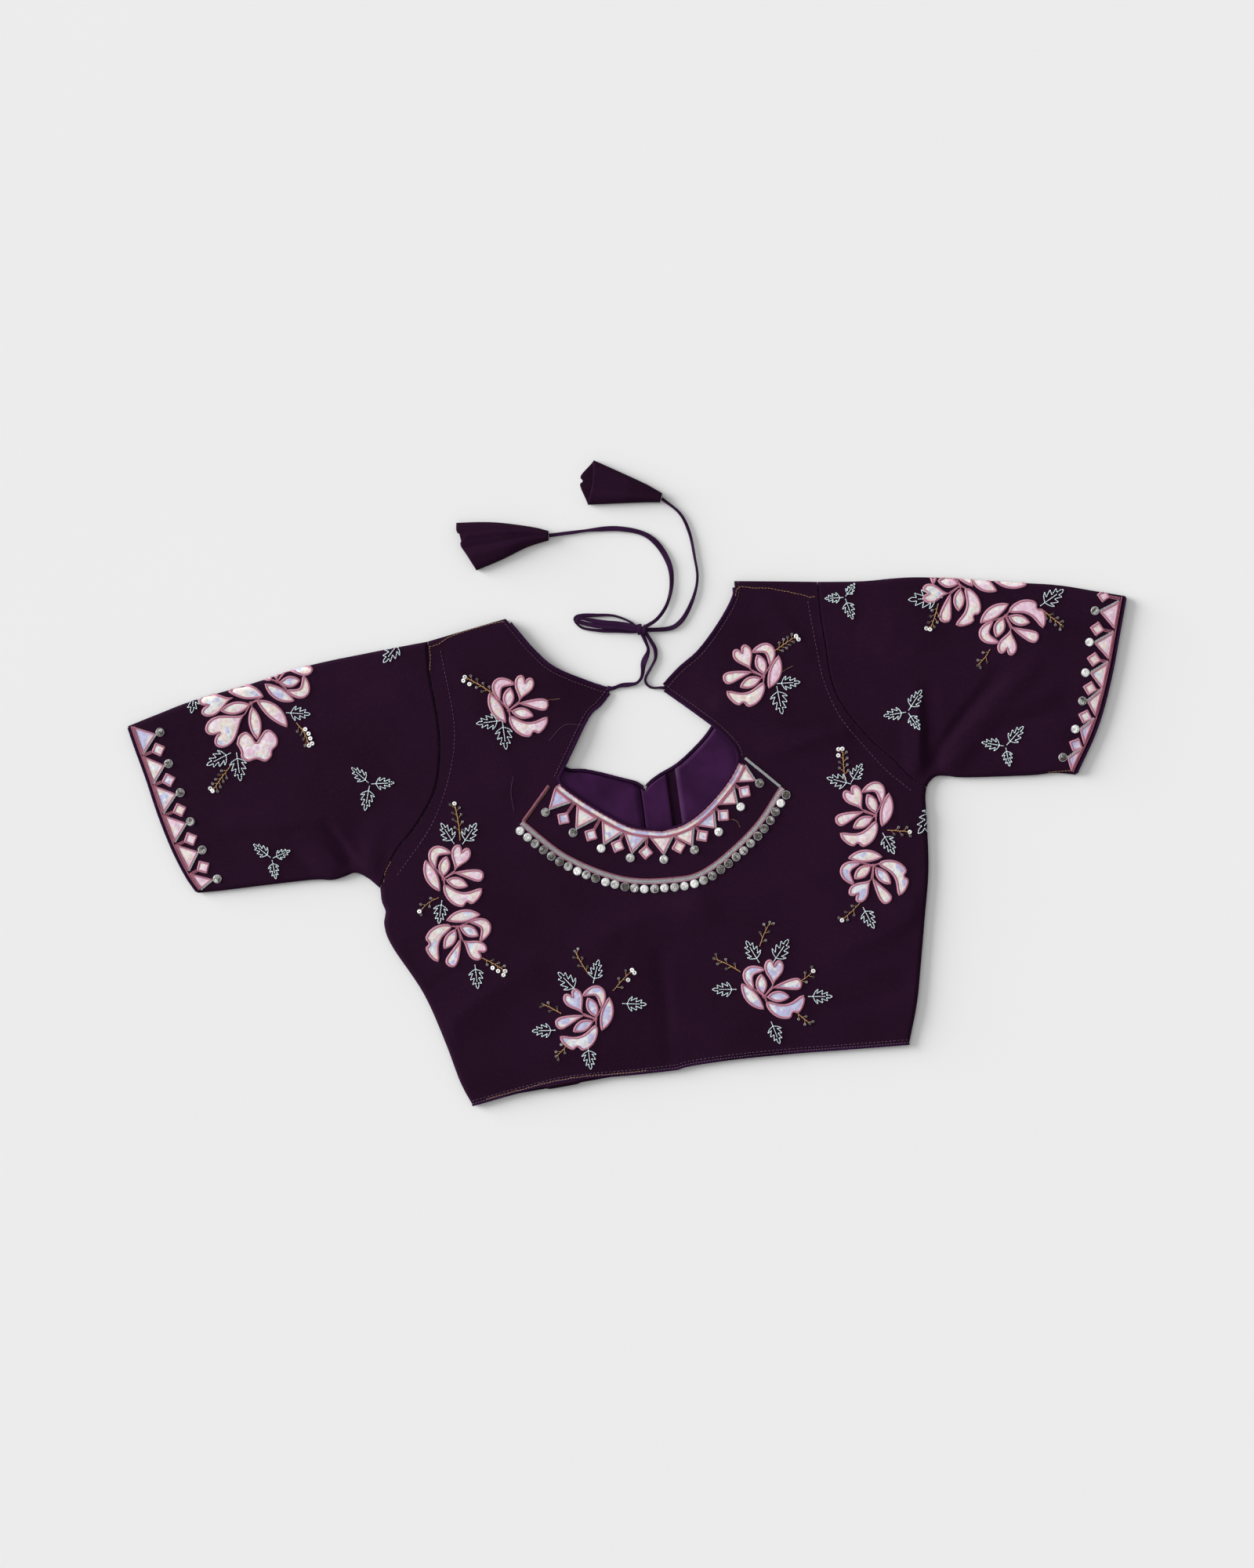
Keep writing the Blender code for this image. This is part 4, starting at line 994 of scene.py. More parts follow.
# %% Fronts, linings and the hook band
PLACKET = {"left": -3.4, "right": 18.8, "thick": 1.4}
FACING_STRIP, LINING_LOFT = 7.4, 0.35
LINING_PUCKERS = table(
    "from to half rise",
    ((-66, 60), (-20, 52), 10, (0.45, 0.45)), ((-60, 44), (-30, 34), 8, (-0.3, -0.3)),
    ((-40, 56), (-12, 36), 8, (0.35, 0.35)), ((34, 64), (60, 30), 8, (0.5, 0.5)),
    ((44, 76), (74, 62), 10, (0.45, 0.45)), ((56, 88), (78, 80), 10, (-0.3, -0.3)),
    ((30, 40), (52, 22), 8, (-0.3, -0.3)), ((-2, 40), (4, 14), 6, (0.3, 0.3)))


def beside(line, off, step=0.4):
    """A path at a distance to the left of a line, kept clear of the line's corners."""
    dense = every(line, step)
    moved = dense + off * to_left(dense)
    return moved[distance_to(line, moved) > abs(off) - 0.02]


def share_at(line, x):
    """How far along a line, as a share of its length, it first crosses a value of x."""
    after = int(np.argmax((line[:, 0] - x) * np.sign(line[-1][0] - line[0][0]) > 0))
    return length_of(line[:after + 1]) / length_of(line)


def front_neck_points(side, from_x, inset=0.0):
    line = edge(f"front_neck_{side}")
    if inset:
        line = beside(line, inset * (1 if side == "left" else -1))
    start = share_at(line, from_x)
    return at_shares(line, start + (1 - start) * ROWS_UP)


def make_front(side):
    from_x = CORNERS["front_low"][0] + SEAM_GAP / 2 * (1 if side == "right" else -1)
    neck = front_neck_points(side, from_x)
    rows = panel(side, (from_x, CORNERS["hem_centre"][1]), neck, 0, 30, 24)
    flat = rows.reshape(-1, 2)
    height = LOWER_RIM * (1 - turn_under(flat))
    front = sheet_object(f"front_{side}_cloth", [raised(flat, height, rows.shape[:2])],
                         CLOTHS["aubergine_crepe"], facing_up=False)
    return seat(give_wall(front, CLOTH), "cloth", f"front_{side}_panel")


def make_lining(side, from_x):
    neck = front_neck_points(side, from_x, LINING_NECK_INSET)
    rows_down = 30
    dense = 9
    rows = panel(side, (from_x, CORNERS["hem_centre"][1]), neck, LINING_HEM_INSET, rows_down, 40)
    inward = unit(rows[:, -1:] - rows[:, :1])
    rows = np.concatenate([rows[:, :1] + LINING_INSET * inward, rows[:, len(EDGE_STEPS) + 1:]], axis=1)
    rows = np.concatenate([rows[:rows_down + 1], rows[rows_down + dense:-dense]])
    flat = rows.reshape(-1, 2)
    height = LINING_TOP + LINING_LOFT + fold_rise(flat, LINING_PUCKERS)
    lining = sheet_object(f"front_{side}_satin", [raised(flat, height, rows.shape[:2])],
                          CLOTHS["purple_satin"])
    return seat(give_wall(lining, CLOTH), "lining", f"front_{side}_lining")


def make_hook_band():
    """The folded satin band that carries the hooks, its top corner rounded by its turning."""
    neck = np.vstack([edge("front_neck_left")[::-1], edge("front_neck_right")[1:]])
    near = neck[np.abs(neck[:, 0]) < 40]
    columns = np.linspace(PLACKET["left"], PLACKET["right"], 20)
    top = np.interp(columns, near[:, 0], near[:, 1]) - LINING_NECK_INSET
    bottom = CORNERS["hem_centre"][1] + 3.0
    shares = np.linspace(0, 1, 120)[:, None]
    x = np.broadcast_to(columns, (120, 20))
    y = bottom + (top - bottom) * shares
    inside = np.minimum(columns - PLACKET["left"], PLACKET["right"] - columns)
    edge_drop = 0.45 * (1 - rounding(inside / 2.5))
    z = CLOTH + SEAM_GAP + PLACKET["thick"] - edge_drop + 0.12 * np.sin(y / 4.3 + x / 7)
    band = sheet_object("hook_band", [np.stack([x, y, z], axis=2)], CLOTHS["purple_satin"])
    return seat(give_wall(band, PLACKET["thick"] - SEAM_GAP), "lining", "hook_placket")


fronts = [make_front(side) for side in ("left", "right")]
linings = [make_lining("left", PLACKET["left"] - 2 * SEAM_GAP),
           make_lining("right", PLACKET["right"] + FACING_STRIP)]
hook_band = make_hook_band()
print("fronts and linings", [item.name for item in fronts + linings])

# %% [markdown]
# ## The sleeves
# A sleeve lies flat as a folded tube: one layer over the other, with the fold along its top and
# the seam under the arm. So its net is made of rings that run over the top layer and back along
# the underside, from the armhole to the open cuff.

# %% Make each sleeve as a pressed tube


def make_sleeve(side):
    hole = at_shares(edge(f"armhole_{side}"), ROWS_UP)[::-1]
    out = -to_left(hole) * (1 if side == "left" else -1)
    hole = hole + ARMHOLE_GAP * out
    along = np.linspace(0, 1, 84)
    top = at_shares(edge(f"sleeve_top_{side}"), along)
    top += (1 - along)[:, None] * (hole[0] - top[0])
    under = at_shares(edge(f"sleeve_under_{side}"), along)
    under += (1 - along)[:, None] * (hole[-1] - under[0])
    rows = patch(hole, edge(f"cuff_{side}"), top, under, along, [1 - ROWS_UP[::-1]] * len(along))
    flat = rows.reshape(-1, 2)
    turn = turn_under(flat).reshape(rows.shape[:2])
    turn[:, [0, -1]] = 0
    height = upper_height(flat, SLEEVE_HEIGHT).reshape(rows.shape[:2])
    over = np.concatenate([rows, (SLEEVE_FOLD + (height - SLEEVE_FOLD) * turn)[..., None]], axis=2)
    below = np.concatenate([rows, (SLEEVE_FOLD * (1 - turn))[..., None]], axis=2)[:, -2:0:-1]
    rings = np.concatenate([over, below], axis=1)
    sleeve = sheet_object(f"sleeve_{side}_cloth", [rings], CLOTHS["aubergine_crepe"], closed=True)
    return seat(give_wall(sleeve, CLOTH), "cloth", f"sleeve_{side}")


sleeves = {side: make_sleeve(side) for side in ("left", "right")}
print("sleeves", {side: len(item.data.polygons) for side, item in sleeves.items()})

# %% [markdown]
# ## Piping and bound edges
# A round piping of purple satin runs along every neck edge. The hem and the cuffs have no cord
# inside: their edges are only turned over with the same satin, which shows as a fine line. Both
# are tubes along the cloth's own edges, so they follow its folds.

# %% Piping round the necks, and the bound hem and cuffs
PIPING_RADIUS, PIPING_STOP, PIPING_OFF = 1.0, 2.6, 0.6
PIPING_SIZE, BINDING_SIZE = (2.5, 2.0), (1.9, 1.7)
PATH_STEP = 0.8


def cut(route, start, end):
    """The route without its first and last few millimetres."""
    whole = length_of(route)
    return at_shares(route, np.linspace(start / whole, 1 - end / whole, round(whole / PATH_STEP)))


def edge_tube(name, path, size, *nodes):
    """A tube of the piping's satin along a path, a little uneven in width."""
    width, thick = size
    ahead = unit(np.gradient(path, axis=0))
    sides = unit(np.cross(ahead, (0, 0, 1)))
    along = np.arange(len(path))
    widths = width * (1 + 0.05 * np.sin(along * 0.9) * np.sin(along * 0.23))
    rings = strip_rings(path, sides, widths, np.full(len(path), thick))
    return seat(strip_object(name, rings, CLOTHS["purple_piping"]), "piping", *nodes)


def with_height(path, height):
    return np.concatenate([path, np.broadcast_to(height, len(path))[:, None]], axis=1)


def make_piping():
    scoop_left, tip_left, strap_left = neck_points("left")
    scoop_right, tip_right, strap_right = neck_points("right")
    round_scoop = np.vstack([strap_left[:1], tip_left[::-1], scoop_left[::-1], scoop_right[1:],
                             tip_right, strap_right[:1]])
    paths = {
        "back_piping_scoop": cut(beside(round_scoop, PIPING_OFF), PIPING_STOP, PIPING_STOP),
        "back_piping_left": cut(beside(strap_left, -PIPING_OFF), PIPING_STOP, 2 * PIPING_STOP),
        "back_piping_right": cut(beside(strap_right, PIPING_OFF), PIPING_STOP, 2 * PIPING_STOP),
    }
    paths = {name: with_height(p, upper_height(p, BODY_HEIGHT) - CLOTH / 2)
             for name, p in paths.items()}
    for side, sign in (("left", -1), ("right", 1)):
        middle = CORNERS["front_low"][0]
        path = beside(front_neck_points(side, middle), sign * PIPING_OFF)
        path = path[sign * (path[:, 0] - middle) > SEAM_GAP]
        paths[f"front_piping_{side}"] = with_height(
            cut(path, PIPING_RADIUS, 2 * PIPING_STOP), CLOTH + SEAM_GAP / 2)
    return [edge_tube(node.replace("piping", "satin_piping"), path, PIPING_SIZE, node)
            for node, path in paths.items()]


def make_bindings():
    hem = every(OPEN_EDGES[0], PATH_STEP)
    top = top_face(hem, BODY_HEIGHT, UPPER_RIM) - CLOTH / 2
    low = LOWER_RIM * (1 - turn_under(hem)) + CLOTH
    made = [edge_tube("hem_binding_back", with_height(hem, top), BINDING_SIZE),
            edge_tube("hem_binding_front", with_height(hem, low), BINDING_SIZE)]
    for side in ("left", "right"):
        cuff = cut(edge(f"cuff_{side}"), 1.5, 1.5)
        upper = top_face(cuff, SLEEVE_HEIGHT, SLEEVE_FOLD) - CLOTH / 2
        under = SLEEVE_FOLD * (1 - turn_under(cuff)) + CLOTH
        for layer, height in (("over", upper), ("under", under)):
            name = f"cuff_binding_{side}_{layer}"
            made.append(edge_tube(name, with_height(cuff, height), BINDING_SIZE))
    return made


pipings = make_piping()
bindings = make_bindings()
print("piping", len(pipings), "bindings", len(bindings))

# %% [markdown]
# ## A stitching kit
# Embroidery is thousands of short stitches. Each one here is a small spindle, and a whole set is
# stamped into one mesh with numpy, which is much quicker than adding objects. Before stamping,
# each stitch is dropped onto the cloth by a ray from above, so it lies on the folds as they are.

# %% Find the cloth under a point
LIFT, MID_HEIGHT = 30.0, 2.5
EDGE_TOUCH = 1.2


def cloth_tree(items):
    depsgraph = bpy.context.evaluated_depsgraph_get()
    points, faces = [], []
    for item in items:
        mesh = item.evaluated_get(depsgraph).to_mesh()
        start = len(points)
        points += [v.co.copy() for v in mesh.vertices]
        faces += [[start + v for v in face.vertices] for face in mesh.polygons]
    return BVHTree.FromPolygons(points, faces)


top_cloth = cloth_tree([back_cloth, *sleeves.values()])


def drop(flat):
    """For flat points in mm: their places on the cloth, its normals, and which lie off it."""
    places, normals, off = [], [], []
    for x, y in np.asarray(flat, float):
        start = Vector((x * MM, y * MM, LIFT * MM))
        hit, normal, _, _ = top_cloth.ray_cast(start, Vector((0, 0, -1)))
        off.append(hit is None)
        if hit is None:
            hit = top_cloth.find_nearest(Vector((x * MM, y * MM, MID_HEIGHT * MM)))[0]
            normal = Vector((0, 0, 1))
        places.append(np.array(hit) / MM)
        normals.append(np.array(normal) * (1 if normal.z > 0 else -1))
    return np.array(places), np.array(normals), np.array(off)


# %% Stamp many stitches into one mesh
SPINDLE_RINGS = ((-0.5, 0.3), (0.0, 1.0), (0.5, 0.3))
SPINDLE_SIDES = 4


def spindle():
    """One stitch, from -0.5 to 0.5 along X and 1 wide: rings of four points, closed at the ends."""
    turn = np.linspace(0, 2 * math.pi, SPINDLE_SIDES, endpoint=False) + math.pi / 4
    points = np.array([(x, r * math.cos(a) / 2, r * math.sin(a) / 2)
                       for x, r in SPINDLE_RINGS for a in turn])
    faces = grid_faces(len(SPINDLE_RINGS), SPINDLE_SIDES, closed=True)
    last = (len(SPINDLE_RINGS) - 1) * SPINDLE_SIDES
    faces.append(tuple(range(SPINDLE_SIDES))[::-1])
    faces.append(tuple(last + k for k in range(SPINDLE_SIDES)))
    return points, faces


def stamp(name, shape, places, frames, sizes, tints, material):
    """Copies one small shape to many places. frames are its three directions at each place."""
    points, faces = shape
    moved = np.einsum("nk,mkj->mnj", points, frames * sizes[..., None]) + places[:, None]
    count = len(points)
    all_faces = [tuple(k * count + v for v in face) for k in range(len(places)) for face in faces]
    return new_object(name, moved.reshape(-1, 3), all_faces, material,
                      tint=np.repeat(tints, count))


class Stitches:
    """Collects stitches of one thread, and makes them one mesh at the end."""

    def __init__(self, name, material, width, height=0.6):
        self.name, self.material, self.width, self.height = name, material, width, height
        self.places, self.frames, self.sizes, self.tints = [], [], [], []

    def sew(self, middles, directions, length, lift=0.3, width=None, tilt=0.0):
        """Stitches centred on flat points, each along its own flat direction."""
        places, normals, off = drop(middles)
        far = np.linalg.norm(places[:, :2] - middles, axis=1) > EDGE_TOUCH
        keep = ~(off & far)
        if not keep.any():
            return
        places, normals = places[keep], normals[keep]
        turn = tilt * np.where(np.arange(len(places)) % 2, 1, -1) + dice.normal(0, 0.08, len(places))
        flat = np.asarray(directions)[keep]
        ahead = np.stack([flat[:, 0] * np.cos(turn) - flat[:, 1] * np.sin(turn),
                          flat[:, 0] * np.sin(turn) + flat[:, 1] * np.cos(turn),
                          np.zeros(len(turn))], axis=1)
        ahead = unit(ahead - (ahead * normals).sum(1)[:, None] * normals)
        side = np.cross(normals, ahead)
        wide = width or self.width
        sizes = np.stack([length * dice.uniform(0.9, 1.1, len(places)),
                          wide * dice.uniform(0.85, 1.15, len(places)),
                          np.full(len(places), self.height)], axis=1)
        self.places.append(places + lift * normals)
        self.frames.append(np.stack([ahead, side, normals], axis=1))
        self.sizes.append(sizes)
        self.tints.append(dice.uniform(0, 1, len(places)))

    def along(self, line, length, lift=0.3, spacing=1.0, tilt=0.0, width=None):
        """Stitches end to end along a flat line."""
        path = every(np.asarray(line, float), length * spacing)
        middles = (path[1:] + path[:-1]) / 2
        self.sew(middles, unit(path[1:] - path[:-1]), length, lift, width, tilt)

    def chain(self, line, length, lift=0.3, width=None):
        """Chain stitch: pairs of stitches that open like links, side by side along a line."""
        path = every(np.asarray(line, float), length)
        middles, ahead = (path[1:] + path[:-1]) / 2, unit(path[1:] - path[:-1])
        left = np.stack([-ahead[:, 1], ahead[:, 0]], axis=1)
        wide = width or self.width
        for sign in (1, -1):
            slant = unit(ahead + 0.35 * sign * left)
            self.sew(middles + sign * 0.42 * wide * left, slant, 1.15 * length, lift, 0.8 * wide)

    def finish(self):
        item = stamp(self.name, spindle(), np.concatenate(self.places), np.concatenate(self.frames),
                     np.concatenate(self.sizes), np.concatenate(self.tints), self.material)
        print(seat(item, "cloth").name, sum(len(p) for p in self.places), "stitches")


# %% [markdown]
# ## Materials for the embroidery
# The appliqué is a pearly satin that was dyed unevenly, so each patch drifts between lavender,
# cream, peach and pink: a colour ramp takes the patch's own tint plus a slow noise, and a finer
# noise darkens it in patches as painted shade of its wrinkles. The threads share the twist group,
# and the sequins are thin plated discs with a painted glint, bright on some and dark on others.

# %% Appliqué satin, threads and sequins
PEARL_STOPS = [
    (0.00, (0.50, 0.53, 0.80)), (0.20, (0.80, 0.84, 0.88)), (0.42, (0.84, 0.82, 0.72)),
    (0.60, (0.86, 0.71, 0.64)), (0.80, (0.88, 0.80, 0.87)), (1.00, (0.84, 0.58, 0.72))]
TINT_DRIFT = 1.3


def pearl_material():
    made, tree, shader = principled("pearl_satin", 0.42, sheen=0.1, coat=0.1)
    place = object_place(tree)
    drift = math_node(tree, "SUBTRACT", noise(tree, 95.0, 2.0, place), 0.5)
    moved = math_node(tree, "ADD", math_node(tree, "MULTIPLY", drift, TINT_DRIFT * 2),
                      stitch_tint(tree), clamp=True)
    ramp = tree.nodes.new("ShaderNodeValToRGB")
    ramp.color_ramp.interpolation = "EASE"
    stops = ramp.color_ramp.elements
    while len(stops) < len(PEARL_STOPS):
        stops.new(0.5)
    for stop, (share, colour) in zip(stops, PEARL_STOPS):
        stop.position = share
        stop.color = (*colour, 1)
    tree.links.new(moved, ramp.inputs["Fac"])
    weave = use_group(tree, WEAVE, place, Threads_per_metre=420.0)
    # Painted shade in the gaps between the satin's threads.
    shade = mix_colour(tree, math_node(tree, "MULTIPLY", weave.outputs["Gaps"], 0.16),
                       ramp.outputs["Color"], (0.45, 0.38, 0.44, 1))
    # Painted shade: a fine noise darkens the satin in patches, as the shadows of its wrinkles.
    folds = math_node(tree, "SUBTRACT", noise(tree, 330.0, 4.0, place, 0.75), 0.43)
    folds = math_node(tree, "MULTIPLY", folds, 2.2, clamp=True)
    tree.links.new(mix_colour(tree, folds, shade, (0.40, 0.30, 0.34, 1)),
                   shader.inputs["Base Color"])
    wrinkles = math_node(tree, "ADD", noise(tree, 260.0, 3.0, place),
                         math_node(tree, "MULTIPLY", weave.outputs["Height"], 0.3))
    bump_from(tree, shader, wrinkles, 0.6, 0.0006)
    return made


def sequin_material(name, bright, dull, roughness):
    made, tree, shader = principled(name, roughness, metallic=0.3)
    sheen_and_tone = noise(tree, 900.0, 2.0, object_place(tree))
    # Painted glint: by the tint and a patchy noise, each sequin's colour runs from dark to bright, as
    # the light that it catches.
    level = math_node(tree, "ADD", stitch_tint(tree),
                      math_node(tree, "MULTIPLY", math_node(tree, "SUBTRACT", sheen_and_tone, 0.5), 0.6),
                      clamp=True)
    shade = mix_colour(tree, level, dull, bright)
    tree.links.new(shade, shader.inputs["Base Color"])
    bump_from(tree, shader, sheen_and_tone, 0.25, 0.0002)
    return made


PEARL = pearl_material()
# Each thread: dye, lighter colour for its painted sheen and stitch tone, roughness
THREADS = {name: thread_material(name, *values) for name, *values in (
    ("pink_thread", (0.34, 0.105, 0.17), (0.57, 0.30, 0.39), 0.55),
    ("rose_thread", (0.36, 0.085, 0.15), (0.52, 0.17, 0.25), 0.55),
    ("leaf_thread", (0.50, 0.62, 0.65), (0.72, 0.83, 0.86), 0.5),
    ("sprig_thread", (0.30, 0.155, 0.045), (0.52, 0.30, 0.11), 0.5),
    ("grey_thread", (0.30, 0.32, 0.33), (0.58, 0.60, 0.60), 0.45),
    ("purple_thread", (0.060, 0.022, 0.068), (0.17, 0.08, 0.17), 0.6),
    ("tan_thread", (0.35, 0.16, 0.06), (0.55, 0.32, 0.16), 0.55),
)}
SEQUIN = sequin_material("plated_sequin", (0.96, 0.96, 0.94, 1), (0.050, 0.040, 0.032, 1), 0.25)

pink = Stitches("petal_edge_stitches", THREADS["pink_thread"], 0.75, 0.7)
rose = Stitches("petal_dot_stitches", THREADS["rose_thread"], 0.78, 0.75)
leaf_green = Stitches("leaf_stitches", THREADS["leaf_thread"], 1.1, 0.9)
ochre = Stitches("sprig_stitches", THREADS["sprig_thread"], 0.72, 0.6)
grey = Stitches("border_grey_stitches", THREADS["grey_thread"], 0.75, 0.7)
border_pink = Stitches("border_pink_stitches", THREADS["rose_thread"], 0.7, 0.7)
seam_purple = Stitches("seam_stitches", THREADS["purple_thread"], 0.45, 0.35)
seam_tan = Stitches("tacking_stitches", THREADS["tan_thread"], 0.42, 0.35)

# %% [markdown]
# ## Appliqué patches
# A patch is cut from satin and sewn down along its edge with a wide pink satin stitch. So each
# one is a thin sheet filled inside its outline, puffed up a little between the stitches, and a
# raised band round it. The band may be no wider than the patch leaves room for, and that room is
# the radius of the largest circle that touches the outline at each point.

# %% Fill an outline, and band its edge
PATCH_GRID, PATCH_EDGE = 2.0, 1.2
BAND_WIDTH = 1.9
BAND_SHAPE = [(-0.06, 0.06), (0.14, 0.48), (0.48, 0.62), (0.82, 0.48), (1.0, 0.2)]
PUFF = 0.55


def inward_room(path, inward):
    """For each outline point, the radius of the largest circle inside that touches it there."""
    gap = path[None, :, :] - path[:, None, :]
    ahead = (gap * inward[:, None, :]).sum(2)
    reach = (gap ** 2).sum(2) / (2 * np.maximum(ahead, 1e-6))
    reach[ahead < 0.05] = 1e3
    return reach.min(1)


def closed_path(outline, step):
    """An outline as points that go round anticlockwise, and the directions inward."""
    ring = every(np.vstack([outline, outline[:1]]), step)[:-1]
    x, y = ring[:, 0], ring[:, 1]
    if (x * np.roll(y, -1) - y * np.roll(x, -1)).sum() < 0:
        ring = ring[::-1]
    ahead = unit(np.roll(ring, -1, axis=0) - np.roll(ring, 1, axis=0))
    return ring, np.stack([-ahead[:, 1], ahead[:, 0]], axis=1)


def inside(outline, points):
    """Which points lie inside a closed outline, by counting crossings to the right."""
    a, b = outline, np.roll(outline, -1, axis=0)
    y = points[:, 1, None]
    spans = (a[:, 1] > y) != (b[:, 1] > y)
    slope = (b[:, 0] - a[:, 0]) / np.where(np.abs(b[:, 1] - a[:, 1]) < 1e-9, 1e-9, b[:, 1] - a[:, 1])
    return (spans & (points[:, 0, None] < a[:, 0] + slope * (y - a[:, 1]))).sum(1) % 2 == 1


class Patches:
    """Collects appliqué patches and their bands, and makes them two meshes at the end."""

    def __init__(self, name):
        self.name = name
        self.satin = ([], [], [])
        self.band = ([], [], [])

    def keep(self, store, places, faces, tint, off):
        start = sum(len(p) for p in store[0])
        store[0].append(places)
        store[1].extend([tuple(start + v for v in f) for f in faces if not all(off[v] for v in f)])
        store[2].append(np.full(len(places), tint))

    def fill(self, ring, tint):
        low, high = ring.min(0), ring.max(0)
        grid = np.stack(np.meshgrid(np.arange(low[0], high[0], PATCH_GRID),
                                    np.arange(low[1], high[1], PATCH_GRID)), axis=2).reshape(-1, 2)
        loop = np.vstack([ring, ring[:1]])
        grid = grid[inside(ring, grid)] if len(grid) else grid
        grid = grid[distance_to(loop, grid) > 0.6 * PATCH_GRID] if len(grid) else grid
        flat = np.vstack([ring, grid])
        count = len(ring)
        made = delaunay_2d_cdt([Vector(p) for p in flat], [], [list(range(count))], 1, 1e-5)
        flat = np.array([p[:] for p in made[0]])
        places, normals, off = drop(flat)
        deep = distance_to(loop, flat)
        lift = 0.12 + PUFF * (1 - np.exp(-(deep / 3.0) ** 2))
        lift += 0.10 * np.sin(flat[:, 0] * 0.9 + 5 * tint) * np.sin(flat[:, 1] * 0.7) * (deep > 0.5)
        self.keep(self.satin, places + lift[:, None] * normals, made[2], tint, off)

    def edge_band(self, ring, inward, width, tint):
        places, lost = [], []
        for share, lift in BAND_SHAPE:
            spots, normals, off = drop(ring + inward * share * width)
            places.append(spots + lift * normals)
            lost.append(off)
        places = np.stack(places, axis=1)
        rows, columns = places.shape[:2]
        faces = grid_faces(rows, columns) + last_to_first(rows, columns, columns - 1)
        self.keep(self.band, places.reshape(-1, 3), faces, tint, np.stack(lost, axis=1).reshape(-1))

    def sew(self, outline, tint, band=BAND_WIDTH):
        """One patch: its satin, its band, the dotted row on it and the stitches over its edge."""
        ring, inward = closed_path(outline, PATCH_EDGE)
        room = inward_room(ring, inward)
        self.fill(ring, tint)
        width = np.minimum(band, 0.95 * room)[:, None]
        self.edge_band(ring, inward, width, dice.uniform(0.3, 0.7))
        middle = ring + inward * 0.5 * width
        rose.along(np.vstack([middle, middle[:1]]), 1.0, 0.68, 1.45)
        pink.sew(ring + inward * 0.16 * width, inward, 1.3, 0.36, tilt=0.3)

    def finish(self):
        for label, store, material in (("satin", self.satin, PEARL),
                                       ("bands", self.band, THREADS["pink_thread"])):
            item = new_object(f"{self.name}_{label}", np.concatenate(store[0]), store[1], material,
                              tint=np.concatenate(store[2]))
            with edited(item) as bm:
                loose = [v for v in bm.verts if not v.link_faces]
                bmesh.ops.delete(bm, geom=loose, context="VERTS")
            print(seat(item, "cloth").name, len(item.data.polygons), "faces")


# %% [markdown]
# ## The rose
# Every flower is one design of seven petals, turned or mirrored. Each petal is a spine with a
# width that grows and shrinks along it, so a short table says what kind it is, where it starts
# and ends, how far it bends, and how wide it is. The heart has a formula of its own, and the one
# fan petal, on the large rose of the left sleeve, a few points.

# %% Shapes of petals
PETAL_POINTS = 26


def heart(base, tip, width):
    """A heart with its point at the base, from the well-known sine and cosine curve."""
    turn = np.linspace(0, 2 * math.pi, 2 * PETAL_POINTS, endpoint=False)
    across_it = np.sin(turn) ** 3
    up = (13 * np.cos(turn) - 5 * np.cos(2 * turn) - 2 * np.cos(3 * turn) - np.cos(4 * turn) + 17) / 29
    a, b, left = straight(base, tip)
    return a + up[:, None] * (b - a) + (width / 2 * across_it)[:, None] * left


END_SHAPES = {"oval": 0.72, "crescent": 0.56, "scallop": 0.50}


def spine_petal(kind, base, tip, bend, width):
    """A petal round a bent spine. A scallop is a crescent with a notch in its outer side."""
    t = np.linspace(0, 1, PETAL_POINTS)
    a, b, left = straight(base, tip)
    middle = (a + b) / 2 + 2 * bend * left
    spine = ((1 - t) ** 2)[:, None] * a + (2 * t * (1 - t))[:, None] * middle + (t ** 2)[:, None] * b
    if kind == "drop":
        half = width / 2 * t ** 0.8 * np.sqrt(1 - t ** 7)
    else:
        half = width / 2 * np.sin(math.pi * t) ** END_SHAPES[kind]
    outer, inner = half.copy(), half.copy()
    if kind == "scallop":
        outer *= 1 - 0.62 * np.exp(-((t - 0.62) / 0.05) ** 2)
        inner *= 0.85
    sign = 1 if bend >= 0 else -1
    normal = to_left(spine)
    return np.vstack([spine + sign * outer[:, None] * normal,
                      (spine - sign * inner[:, None] * normal)[::-1]])


ROSE = table(
    "kind base tip bend width",
    ("heart", (9.2, 6.6), (16.4, 26.6), 0, 15.8), ("crescent", (-6.6, 8.2), (6.6, 20.8), 10.0, 8.8),
    ("oval", (-0.8, 2.0), (2.6, 18.4), 0.3, 9.2), ("oval", (-14.6, 15.2), (-3.0, -9.8), -1.3, 10.2),
    ("drop", (9.0, 5.0), (32.8, 1.6), 0.6, 13.0), ("oval", (2.4, -1.2), (19.8, -6.0), 0.5, 9.0),
    ("scallop", (0.6, -4.6), (31.2, -7.8), -10.2, 13.0))
FAN_EDGE = [
    (-11.5, -33), (-9.5, -26.5), (-4, -23.5), (1, -27), (4.4, -32), (8, -27), (12, -22), (17, -22.5),
    (21.5, -28), (21.5, -34), (17.5, -38.5), (17, -43), (12, -47.5), (4.6, -45.5), (-2, -47.5),
    (-7.5, -44.5), (-8, -39.5)]
